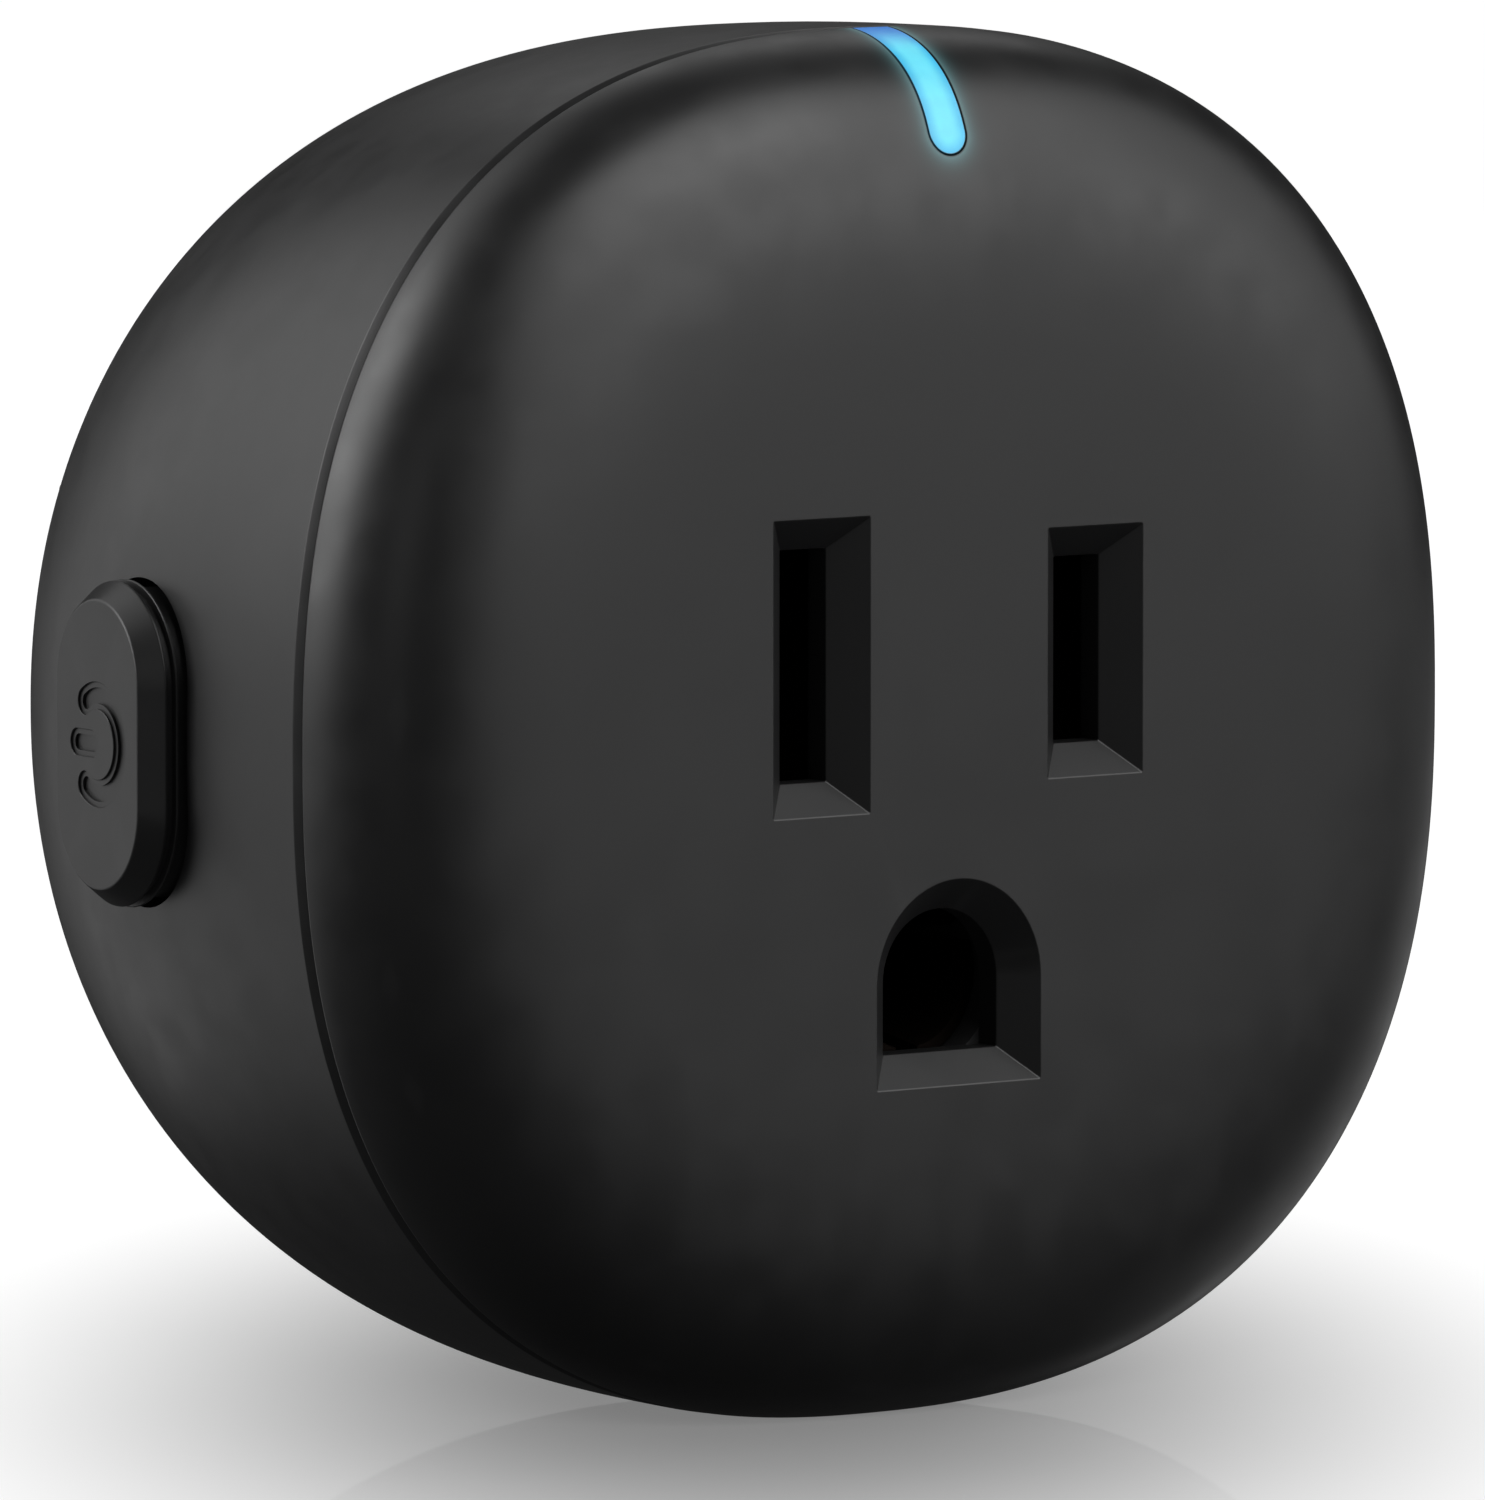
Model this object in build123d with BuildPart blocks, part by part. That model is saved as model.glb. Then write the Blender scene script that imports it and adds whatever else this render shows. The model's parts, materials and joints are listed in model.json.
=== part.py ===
"""A single-outlet smart plug for a 15 A three-pin wall outlet.

Frame: millimetres, +Z up. The socket face looks along -Y and the prongs point along +Y, into the wall.
The origin lies on the wall face, midway between the two flat blades.
A "depth" in this script is measured back from the socket face, so y = depth - BODY_DEPTH.
"""

import os
from math import cos, pi, radians, sin

from build123d import *

# ---- Body: a rounded square with a flat socket face and a barrel-shaped rear ----
BODY_DEPTH = 31.5
BODY_HALF_WIDTH = 25.8
BODY_HALF_HEIGHT = 25.7
BODY_CENTER_Z = -2.7
WIDEST_DEPTH = 5.87
FRONT_ROUNDNESS = (9.65, 1.81)  # radial and depth exponents of the front edge's profile
FRONT_SECTIONS = 14
REAR_APEX_DEPTH = 38.3  # where the barrel would close if the wall face didn't cut it off
REAR_ROUNDNESS = (2.59, 2.75)
REAR_SECTION_DEPTHS = (9, 13, 17, 20.5, 24, 27)
OUTLINE_EXPONENT = 2.41  # 2 is an ellipse, more is squarer
OUTLINE_SOFTENING = 0.0116  # the outline gets rounder by this much per millimetre of depth
OUTLINE_POINTS = 32
FACE_WALL = 2.2
SIDE_WALL = 2.0
BACK_WALL = 2.2
BACK_EDGE_RADIUS = 0.8

# ---- Seam between the two shells ----
SEAM_DEPTH = 5.54
REVEAL_WIDTH = 0.5
REVEAL_INSET = 0.6
REVEAL_SLIT = 0.12
COVER_SKIRT = 1.25  # the cover's wall beside the tongue
TONGUE_INSET = 1.3
TONGUE_TIP_DEPTH = 3.8
COVER_CAVITY_INSET = 3.4
SLIP = 0.05  # assembly clearance between neighbouring pieces

# ---- Outlet pattern, the standard 15 A layout ----
BLADE_X = 6.35
GROUND_Z = -11.9
LINE_SLOT_HEIGHT = 6.9
NEUTRAL_SLOT_HEIGHT = 8.55
SLOT_WIDTH = 2.1
GROUND_HOLE_RADIUS = 2.63
GROUND_HOLE_FLOOR = 2.62  # from the ground hole's centre down to its flat side
LEAD_IN = 1.18  # the 45 degree bevel round each opening

# ---- Prongs ----
BLADE_THICKNESS = 1.52
LINE_BLADE_WIDTH = 6.35
NEUTRAL_BLADE_WIDTH = 7.92
BLADE_LENGTH = 16.3
BLADE_TIP_BEVEL = 0.5
BLADE_HOLE_RADIUS = 1.95
BLADE_HOLE_Y = 11.7
TAIL_WIDTH = 3.0
GROUND_PIN_RADIUS = 2.385
GROUND_PIN_LENGTH = 19.4
GROUND_PIN_COLLAR = 2.7  # radius of its root, which fills the hole in the wall face
GROUND_PIN_NOSE = 1.9
GROUND_STUB_RADIUS = 1.5
SHOULDER_THICKNESS = 1.4
SHOULDER_OVERHANG = 1.1
RETAINER_THICKNESS = 1.6
RETAINER_X = 9.4
RETAINER_Z = (-16.4, 6.2)
RETAINER_CORNER = 3.0
RETAINER_PILLARS = ((-4.4, -13.6), (4.4, -13.6), (0, 4.6), (0, -3.5))
RETAINER_PILLAR_RADIUS = 1.0
SHOULDER_SIDE = 0.7  # how far a blade's shoulder stands out from its flat sides
BLADE_TAIL_Y = -9.0

# ---- Circuit boards ----
BOARD_FRONT_Y = -8.0
BOARD_BACK_Y = -6.4
BOARD_HALF_SIZE = 19.0
BOARD_EXPONENT = 2.16
SOLDER_TAIL_Y = -5.8  # how far back the leads reach
LEAD_SIZE = 0.6
CONTROL_BOARD_X = (-15.0, -14.0)
CONTROL_BOARD_Z = (-10.5, 6.5)
CONTROL_BOARD_FRONT_Y = -25.5
SCREW_SPOTS = ((-11.8, -13.8), (11.8, -13.8), (11.0, 9.6), (-11.0, 9.6))
SCREW_RADIUS = 1.1
SCREW_HEAD_RADIUS = 2.1
SCREW_HEAD_HEIGHT = 1.4
SCREW_TIP_Y = -3.4
SCREW_RECESS = (2.4, 1.4, 0.5)  # length, depth and width of each arm of the cross
BOSS_RADIUS = 2.2

# ---- Receptacle inside the body ----
HOLDER_BACK_Y = BOARD_FRONT_Y
POCKET_FLOOR_Y = -10.4
TAIL_POCKET_Y = -9.4  # room for the prongs' tails behind the pockets
TAIL_POCKET_HALF = (1.1, 2.0)
GROUND_TAIL_POCKET_RADIUS = 1.9
HOLDER_SLOT_BLOCK = (20.8, 13.0, 1.2)  # width, height and corner radius round the blade pockets
HOLDER_NECK = (9.4, 12.0)  # width and height of the bridge down to the ground pocket
HOLDER_GROUND_RADIUS = 4.7
POCKET_HALF_WIDTH = 2.6
POCKET_HALF_HEIGHT = 5.3
GROUND_POCKET_RADIUS = 3.3
CONTACT_THICKNESS = 0.5
CONTACT_TAIL_Z = 3.6
GROUND_TAIL_Z = GROUND_Z + 2.9
CONTACT_MOUTH_Y = -28.3
CONTACT_WAIST_Y = (-25.5, -23.5)  # where the leaves run closest together
CONTACT_SPREAD_Y = -16.0  # behind this the leaves stand full width apart
BLADE_CONTACT_HALF_WIDTHS = (1.55, 0.85, 2.1)  # at the mouth, the waist and the back
BLADE_CONTACT_HEIGHTS = (9.4, 9.0)  # neutral, line
GROUND_CONTACT_RADII = (2.95, 2.45, 2.7)  # at the mouth, the waist and the back
GROUND_CONTACT_SLIT = 1.0
GROUND_CONTACT_ROOT_Y = -14.0  # the slits between its leaves end here
CONTACT_LEAD_HOLE = 1.1

# ---- Button ----
BUTTON_DEPTH = 16.7
BUTTON_Z = BODY_CENTER_Z - 0.2
BUTTON_TILT = 7.3  # the pad follows the slope of the wall, in degrees
PAD_LENGTH = 11.95
PAD_WIDTH = 7.6
PAD_BEVEL_INSET = 0.66
PAD_BEVEL_HEIGHT = 0.82
PAD_PROUD = 1.5
PAD_LEDGE = 0.12
PAD_LEDGE_HEIGHT = 0.42
BUTTON_GAP = 0.14
BUTTON_FLANGE = (-3.9, -3.1)  # heights above the wall; the flange keeps the button in
BUTTON_FLANGE_MARGIN = 0.8
BUTTON_STEM = (1.5, 2.4)  # radius and length
ICON_RADIUS = 1.81
ICON_STROKE = 0.85
ICON_DEPTH = 0.16
ICON_OPENING = 60
ICON_BAR = (0.75, 2.75)

# ---- Tactile switch behind the button ----
SWITCH_HALF_SIZE = 3.0
SWITCH_TOP_X = -18.5
PLUNGER_RADIUS = 1.7
PLUNGER_TIP_X = -19.4
SWITCH_WELL_X = -17.3

# ---- Indicator light ----
LENS_WIDTH = 1.7
LENS_TIP_Z = 18.5
LIGHT_STEM_Z = (14.2, 15.6)
LIGHT_STEM_END_Y = -10.0
LED_CENTER_Z = 14.9

# ---- Relay: its coil lies along Z, with the armature above the coil's pole ----
RELAY_LOW = (10.8, -23.0, -11.5)
RELAY_HIGH = (17.4, BOARD_FRONT_Y, 7.1)
RELAY_WALL = 0.6
RELAY_BASE_THICKNESS = 1.2
COIL_Y = -12.5
COIL_RADIUS = 2.6
CORE_RADIUS = 1.1
COIL_Z = (-9.6, 0.4)
POLE_Z = 1.2
YOKE_THICKNESS = 1.0
PIVOT_Y = -16.6
ARMATURE_GAP = 0.35
ARMATURE_THICKNESS = 0.9
RELAY_CONTACT_Y = -20.6

os.makedirs("parts", exist_ok=True)


# ---------------------------------------------------------------- shapes that several pieces share


def y_at(depth):
    """The frame's y at a depth behind the socket face."""
    return depth - BODY_DEPTH


def plane_at(depth):
    """A plane across the body at a depth, centred on the body. Its normal points out of the socket."""
    return Plane(origin=(0, y_at(depth), BODY_CENTER_Z), x_dir=(1, 0, 0), z_dir=(0, -1, 0))


def plane_y(y):
    """A plane across the body at a y, centred midway between the blades. Its normal is -Y."""
    return Plane(origin=(0, y, 0), x_dir=(1, 0, 0), z_dir=(0, -1, 0))


def front_share(step):
    """Share of the full outline at a step along the front edge. Steps crowd where the face is flat."""
    angle = radians(90) * (step / FRONT_SECTIONS) ** 2
    return sin(angle) ** (2 / FRONT_ROUNDNESS[0])


def front_depth(share):
    """Depth of the front surface where the outline has grown to a share of its full size."""
    radial, deep = FRONT_ROUNDNESS
    return WIDEST_DEPTH * (1 - (1 - share**radial) ** (1 / deep))


def rear_share(depth, apex=REAR_APEX_DEPTH):
    """Share of the full outline that is left at a depth on the barrel."""
    radial, deep = REAR_ROUNDNESS
    along = max(0.0, (depth - WIDEST_DEPTH) / (apex - WIDEST_DEPTH))
    return (1 - along**deep) ** (1 / radial)


def outline_exponent(depth):
    return OUTLINE_EXPONENT - OUTLINE_SOFTENING * max(0.0, depth - WIDEST_DEPTH)


def outline(half_width, half_height, exponent=OUTLINE_EXPONENT):
    """Draws a superellipse in the current sketch."""
    points = []
    for i in range(OUTLINE_POINTS):
        angle = 2 * pi * i / OUTLINE_POINTS
        c, s = cos(angle), sin(angle)
        x = half_width * abs(c) ** (2 / exponent) * (1 if c >= 0 else -1)
        y = half_height * abs(s) ** (2 / exponent) * (1 if s >= 0 else -1)
        points.append((x, y))
    with BuildLine() as perimeter:
        Spline(*points, periodic=True)
    make_face(perimeter.edges())


def slab(from_depth, to_depth, inset, mode=Mode.ADD):
    """A straight-sided slice of the full outline, drawn in by an inset, in the current part."""
    with BuildSketch(plane_at(to_depth)) as section:
        outline(BODY_HALF_WIDTH - inset, BODY_HALF_HEIGHT - inset)
    extrude(section.sketch, amount=to_depth - from_depth, mode=mode)


def block(low, high, mode=Mode.ADD):
    """A block between two corners, in the current part."""
    center = tuple((a + b) / 2 for a, b in zip(low, high))
    size = [b - a for a, b in zip(low, high)]
    with Locations(center):
        Box(*size, mode=mode)


def rod(x, z, radius, from_y, to_y, mode=Mode.ADD):
    """A round rod along Y, in the current part."""
    with Locations((x, (from_y + to_y) / 2, z)):
        Cylinder(radius, to_y - from_y, rotation=(90, 0, 0), mode=mode)


def lead(x, z, from_y=BOARD_FRONT_Y, size=LEAD_SIZE, mode=Mode.ADD):
    """A square lead that runs back through the board, in the current part."""
    block((x - size / 2, from_y, z - size / 2), (x + size / 2, SOLDER_TAIL_Y, z + size / 2), mode=mode)


def finish(piece, name):
    """Labels a finished piece, writes it to its own file and reports its volume."""
    piece.part.label = name
    export_step(piece.part, f"parts/{name}.step")
    print(f"{name}: {piece.part.volume:.1f} mm3")


# The body's outer form ahead of the seam, behind the seam, and the room inside.
with BuildPart() as front_form:
    with BuildSketch(plane_at(0)):
        outline(BODY_HALF_WIDTH * front_share(2), BODY_HALF_HEIGHT * front_share(2))
    for step in range(3, FRONT_SECTIONS):
        share = front_share(step)
        with BuildSketch(plane_at(front_depth(share))):
            outline(BODY_HALF_WIDTH * share, BODY_HALF_HEIGHT * share)
    with BuildSketch(plane_at(SEAM_DEPTH)):
        outline(BODY_HALF_WIDTH, BODY_HALF_HEIGHT)
    loft()

with BuildPart() as rear_form:
    for depth in (SEAM_DEPTH + REVEAL_WIDTH, *REAR_SECTION_DEPTHS, BODY_DEPTH - BACK_WALL, BODY_DEPTH):
        share = rear_share(depth)
        with BuildSketch(plane_at(depth)):
            outline(BODY_HALF_WIDTH * share, BODY_HALF_HEIGHT * share, outline_exponent(depth))
    loft()
    fillet(rear_form.faces().sort_by(Axis.Y)[-1].edges(), BACK_EDGE_RADIUS)

with BuildPart() as rear_cavity:
    for depth in (TONGUE_TIP_DEPTH - 1, WIDEST_DEPTH, *REAR_SECTION_DEPTHS, BODY_DEPTH - BACK_WALL):
        share = rear_share(depth, REAR_APEX_DEPTH - SIDE_WALL)
        with BuildSketch(plane_at(depth)):
            outline(
                (BODY_HALF_WIDTH - SIDE_WALL) * share,
                (BODY_HALF_HEIGHT - SIDE_WALL) * share,
                outline_exponent(depth),
            )
    loft()

with BuildPart() as cover_wall:
    add(front_form.part)
    slab(FACE_WALL, TONGUE_TIP_DEPTH, COVER_CAVITY_INSET, mode=Mode.SUBTRACT)
    slab(TONGUE_TIP_DEPTH, SEAM_DEPTH, COVER_SKIRT, mode=Mode.SUBTRACT)


def lens_bar(clearance):
    """The light bar's straight cut through the cover, from its round tip up past the top edge."""
    half = LENS_WIDTH / 2 + clearance
    tip = LENS_TIP_Z - clearance
    top = BODY_CENTER_Z + BODY_HALF_HEIGHT + 1
    with BuildPart() as bar:
        with BuildSketch(plane_y(y_at(SEAM_DEPTH))):
            with Locations((0, tip + half)):
                Circle(half)
            with Locations((0, (tip + half + top) / 2)):
                Rectangle(2 * half, top - tip - half)
        extrude(amount=SEAM_DEPTH + 1)
    return bar.part


# ---------------------------------------------------------------- shells

with BuildPart() as front_cover:
    add(cover_wall.part)
    with BuildSketch(plane_y(y_at(LEAD_IN))) as openings:
        with Locations((-BLADE_X, 0)):
            Rectangle(SLOT_WIDTH, NEUTRAL_SLOT_HEIGHT)
        with Locations((BLADE_X, 0)):
            Rectangle(SLOT_WIDTH, LINE_SLOT_HEIGHT)
        with Locations((0, GROUND_Z)):
            Circle(GROUND_HOLE_RADIUS)
        with Locations((0, GROUND_Z - GROUND_HOLE_FLOOR / 2)):
            Rectangle(2 * GROUND_HOLE_RADIUS, GROUND_HOLE_FLOOR)
    extrude(openings.sketch, amount=-FACE_WALL, both=True, mode=Mode.SUBTRACT)
    extrude(openings.sketch, amount=LEAD_IN + 0.1, taper=-45, mode=Mode.SUBTRACT)
    add(lens_bar(SLIP), mode=Mode.SUBTRACT)

with BuildPart() as light_pipe:
    add(cover_wall.part)
    add(lens_bar(0), mode=Mode.INTERSECT)
    half = LENS_WIDTH / 2
    foot_y = (y_at(FACE_WALL), y_at(FACE_WALL) + 1.6)
    block((-half, foot_y[0], LIGHT_STEM_Z[0]), (half, foot_y[1], LENS_TIP_Z + 0.9))
    block((-half, foot_y[0], LIGHT_STEM_Z[0]), (half, LIGHT_STEM_END_Y, LIGHT_STEM_Z[1]))

button_wall_x = -BODY_HALF_WIDTH * rear_share(BUTTON_DEPTH)
button_plane = Plane(
    origin=(button_wall_x, y_at(BUTTON_DEPTH), BUTTON_Z),
    x_dir=(0, 0, 1),
    z_dir=(-cos(radians(BUTTON_TILT)), sin(radians(BUTTON_TILT)), 0),
)

with BuildPart() as rear_housing:
    add(rear_form.part)
    slab(SEAM_DEPTH + REVEAL_SLIT, SEAM_DEPTH + REVEAL_WIDTH, REVEAL_INSET)
    slab(TONGUE_TIP_DEPTH, SEAM_DEPTH + REVEAL_SLIT, TONGUE_INSET)
    add(rear_cavity.part, mode=Mode.SUBTRACT)
    with BuildSketch(button_plane.offset(BUTTON_FLANGE[0])):
        grown = 2 * (PAD_LEDGE + BUTTON_GAP)
        SlotOverall(PAD_LENGTH + grown, PAD_WIDTH + grown)
    extrude(amount=PAD_PROUD - BUTTON_FLANGE[0], mode=Mode.SUBTRACT)
    for x, z in SCREW_SPOTS:
        rod(x, z, BOSS_RADIUS, BOARD_BACK_Y, -BACK_WALL)
    for x, z in SCREW_SPOTS:
        rod(x, z, SCREW_RADIUS + SLIP, BOARD_BACK_Y, -BACK_WALL + 0.8, mode=Mode.SUBTRACT)
    for x, width in ((-BLADE_X, NEUTRAL_BLADE_WIDTH), (BLADE_X, LINE_BLADE_WIDTH)):
        half = width / 2 + SLIP
        side = BLADE_THICKNESS / 2 + SLIP
        block((x - side, -BACK_WALL, -half), (x + side, 0, half), mode=Mode.SUBTRACT)
    rod(0, GROUND_Z, GROUND_PIN_COLLAR + SLIP, -BACK_WALL, 0, mode=Mode.SUBTRACT)

# ---------------------------------------------------------------- button and its switch

button_axis = Axis(button_plane.origin, button_plane.z_dir)
with BuildPart() as power_button:
    with BuildSketch(button_plane.offset(BUTTON_FLANGE[0])):
        SlotOverall(PAD_LENGTH + 2 * BUTTON_FLANGE_MARGIN, PAD_WIDTH + 2 * BUTTON_FLANGE_MARGIN)
    extrude(amount=BUTTON_FLANGE[1] - BUTTON_FLANGE[0])
    with BuildSketch(button_plane.offset(BUTTON_FLANGE[1])):
        SlotOverall(PAD_LENGTH + 2 * PAD_LEDGE, PAD_WIDTH + 2 * PAD_LEDGE)
    extrude(amount=PAD_LEDGE_HEIGHT - BUTTON_FLANGE[1])
    with BuildSketch(button_plane.offset(PAD_LEDGE_HEIGHT)):
        SlotOverall(PAD_LENGTH, PAD_WIDTH)
    extrude(amount=PAD_PROUD - PAD_LEDGE_HEIGHT)
    pad_rim = power_button.faces().sort_by(button_axis)[-1].edges()
    chamfer(pad_rim, PAD_BEVEL_HEIGHT, PAD_BEVEL_INSET)
    with BuildSketch(button_plane.offset(PAD_PROUD)):
        with BuildLine():
            CenterArc((0, 0), ICON_RADIUS, 90 + ICON_OPENING / 2, 360 - ICON_OPENING)
        trace(line_width=ICON_STROKE)
        with Locations((0, sum(ICON_BAR) / 2)):
            Rectangle(ICON_STROKE, ICON_BAR[1] - ICON_BAR[0])
    extrude(amount=-ICON_DEPTH, mode=Mode.SUBTRACT)
    stem_plane = Plane(
        origin=(PLUNGER_TIP_X - SLIP, y_at(BUTTON_DEPTH), BUTTON_Z),
        x_dir=(0, 0, 1),
        z_dir=(-1, 0, 0),
    )
    with BuildSketch(stem_plane):
        Circle(BUTTON_STEM[0])
    extrude(amount=BUTTON_STEM[1])

switch_y = y_at(BUTTON_DEPTH)
with BuildPart() as switch_body:
    block(
        (SWITCH_TOP_X, switch_y - SWITCH_HALF_SIZE, BUTTON_Z - SWITCH_HALF_SIZE),
        (CONTROL_BOARD_X[0], switch_y + SWITCH_HALF_SIZE, BUTTON_Z + SWITCH_HALF_SIZE),
    )
    chamfer(switch_body.faces().sort_by(Axis.X)[0].edges(), 0.3)
    with BuildSketch(Plane(origin=(SWITCH_WELL_X, switch_y, BUTTON_Z), z_dir=(-1, 0, 0))):
        Circle(PLUNGER_RADIUS + 0.1)
    extrude(amount=2, mode=Mode.SUBTRACT)

with BuildPart() as switch_plunger:
    with BuildSketch(Plane(origin=(PLUNGER_TIP_X, switch_y, BUTTON_Z), z_dir=(1, 0, 0))):
        Circle(PLUNGER_RADIUS)
    extrude(amount=1.5)
    chamfer(switch_plunger.edges().sort_by(Axis.X)[0], 0.2)

# ---------------------------------------------------------------- prongs and what holds them


def blade(x, width):
    """A flat prong with its shoulder inside the body and its tail through the board."""
    half, side = width / 2, BLADE_THICKNESS / 2
    shoulder = half + SHOULDER_OVERHANG
    with BuildPart() as piece:
        block((x - side, -BACK_WALL, -half), (x + side, BLADE_LENGTH, half))
        chamfer(piece.faces().sort_by(Axis.Y)[-1].edges(), BLADE_TIP_BEVEL)
        with BuildSketch(Plane(origin=(x - 2, BLADE_HOLE_Y, 0), z_dir=(1, 0, 0))):
            Circle(BLADE_HOLE_RADIUS)
        extrude(amount=4, mode=Mode.SUBTRACT)
        block(
            (x - side - SHOULDER_SIDE, -BACK_WALL - SHOULDER_THICKNESS, -shoulder),
            (x + side + SHOULDER_SIDE, -BACK_WALL, shoulder),
        )
        block((x - side, BLADE_TAIL_Y, -TAIL_WIDTH / 2), (x + side, -BACK_WALL, TAIL_WIDTH / 2))
    return piece


neutral_blade = blade(-BLADE_X, NEUTRAL_BLADE_WIDTH)
line_blade = blade(BLADE_X, LINE_BLADE_WIDTH)

shoulder_y = -BACK_WALL - SHOULDER_THICKNESS
with BuildPart() as ground_pin:
    rod(0, GROUND_Z, GROUND_PIN_RADIUS, 0, GROUND_PIN_LENGTH)
    fillet(ground_pin.edges().sort_by(Axis.Y)[-1], GROUND_PIN_NOSE)
    rod(0, GROUND_Z, GROUND_PIN_COLLAR, -BACK_WALL, 0)
    rod(0, GROUND_Z, GROUND_PIN_COLLAR + SHOULDER_OVERHANG, shoulder_y, -BACK_WALL)
    rod(0, GROUND_Z, GROUND_STUB_RADIUS, BLADE_TAIL_Y, -BACK_WALL)

retainer_y = shoulder_y - RETAINER_THICKNESS
with BuildPart() as blade_retainer:
    block((-RETAINER_X, retainer_y, RETAINER_Z[0]), (RETAINER_X, shoulder_y, RETAINER_Z[1]))
    fillet(blade_retainer.edges().filter_by(Axis.Y), RETAINER_CORNER)
    for x, z in RETAINER_PILLARS:
        rod(x, z, RETAINER_PILLAR_RADIUS, BOARD_BACK_Y, retainer_y)
    for x in (-BLADE_X, BLADE_X):
        side = BLADE_THICKNESS / 2 + SLIP
        half = TAIL_WIDTH / 2 + SLIP
        block((x - side, retainer_y, -half), (x + side, shoulder_y, half), mode=Mode.SUBTRACT)
    rod(0, GROUND_Z, GROUND_STUB_RADIUS + SLIP, retainer_y, shoulder_y, mode=Mode.SUBTRACT)

# ---------------------------------------------------------------- receptacle contacts and holder

with BuildPart() as contact_holder:
    with BuildSketch(plane_y(HOLDER_BACK_Y)):
        RectangleRounded(*HOLDER_SLOT_BLOCK)
        with Locations((0, GROUND_Z / 2 - 2)):
            Rectangle(*HOLDER_NECK)
        with Locations((0, GROUND_Z)):
            Circle(HOLDER_GROUND_RADIUS)
    extrude(amount=HOLDER_BACK_Y - y_at(FACE_WALL))
    for x in (-BLADE_X, BLADE_X):
        block(
            (x - POCKET_HALF_WIDTH, y_at(FACE_WALL), -POCKET_HALF_HEIGHT),
            (x + POCKET_HALF_WIDTH, POCKET_FLOOR_Y, POCKET_HALF_HEIGHT),
            mode=Mode.SUBTRACT,
        )
        half_x, half_z = TAIL_POCKET_HALF
        block((x - half_x, TAIL_POCKET_Y, -half_z), (x + half_x, HOLDER_BACK_Y, half_z), mode=Mode.SUBTRACT)
        lead(x, CONTACT_TAIL_Z, POCKET_FLOOR_Y, CONTACT_LEAD_HOLE, mode=Mode.SUBTRACT)
    rod(0, GROUND_Z, GROUND_POCKET_RADIUS, y_at(FACE_WALL), POCKET_FLOOR_Y, mode=Mode.SUBTRACT)
    rod(0, GROUND_Z, GROUND_TAIL_POCKET_RADIUS, TAIL_POCKET_Y, HOLDER_BACK_Y, mode=Mode.SUBTRACT)
    lead(0, GROUND_TAIL_Z, POCKET_FLOOR_Y, CONTACT_LEAD_HOLE, mode=Mode.SUBTRACT)


def blade_contact(x, height):
    """A spring clip that pinches a blade: two leaves, joined at the back, with one lead."""
    mouth, waist, back = BLADE_CONTACT_HALF_WIDTHS
    leaf = [
        (mouth, CONTACT_MOUTH_Y),
        (waist, CONTACT_WAIST_Y[0]),
        (waist, CONTACT_WAIST_Y[1]),
        (back, CONTACT_SPREAD_Y),
        (back, POCKET_FLOOR_Y - CONTACT_THICKNESS / 2),
    ]
    with BuildPart() as piece:
        with BuildSketch(Plane.XY.offset(-height / 2)):
            with BuildLine():
                Polyline(*[(x - half, y) for half, y in leaf], *[(x + half, y) for half, y in reversed(leaf)])
            trace(line_width=CONTACT_THICKNESS)
        extrude(amount=height)
        lead(x, CONTACT_TAIL_Z, POCKET_FLOOR_Y - CONTACT_THICKNESS / 2, 1.0)
    return piece


neutral_contact = blade_contact(-BLADE_X, BLADE_CONTACT_HEIGHTS[0])
line_contact = blade_contact(BLADE_X, BLADE_CONTACT_HEIGHTS[1])

with BuildPart() as ground_contact:
    mouth, waist, back = GROUND_CONTACT_RADII
    with BuildSketch(Plane.XY.offset(GROUND_Z)):
        with BuildLine():
            Polyline(
                (0.4, POCKET_FLOOR_Y - CONTACT_THICKNESS / 2),
                (back, POCKET_FLOOR_Y - CONTACT_THICKNESS / 2),
                (back, CONTACT_SPREAD_Y),
                (waist, CONTACT_WAIST_Y[1]),
                (waist, CONTACT_WAIST_Y[0]),
                (mouth, CONTACT_MOUTH_Y),
            )
        trace(line_width=CONTACT_THICKNESS)
    revolve(axis=Axis((0, 0, GROUND_Z), (0, 1, 0)))
    rod(0, GROUND_Z, 1.0, POCKET_FLOOR_Y - CONTACT_THICKNESS, POCKET_FLOOR_Y)
    slit_length = 2 * (GROUND_CONTACT_ROOT_Y - CONTACT_MOUTH_Y)
    for turn in range(3):
        with Locations(Location((0, CONTACT_MOUTH_Y, GROUND_Z), (0, 90 + 120 * turn, 0))):
            Box(
                2 * GROUND_POCKET_RADIUS,
                slit_length,
                GROUND_CONTACT_SLIT,
                align=(Align.MIN, Align.CENTER, Align.CENTER),
                mode=Mode.SUBTRACT,
            )
    lead(0, GROUND_TAIL_Z, POCKET_FLOOR_Y - CONTACT_THICKNESS)

# ---------------------------------------------------------------- circuit boards

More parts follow.
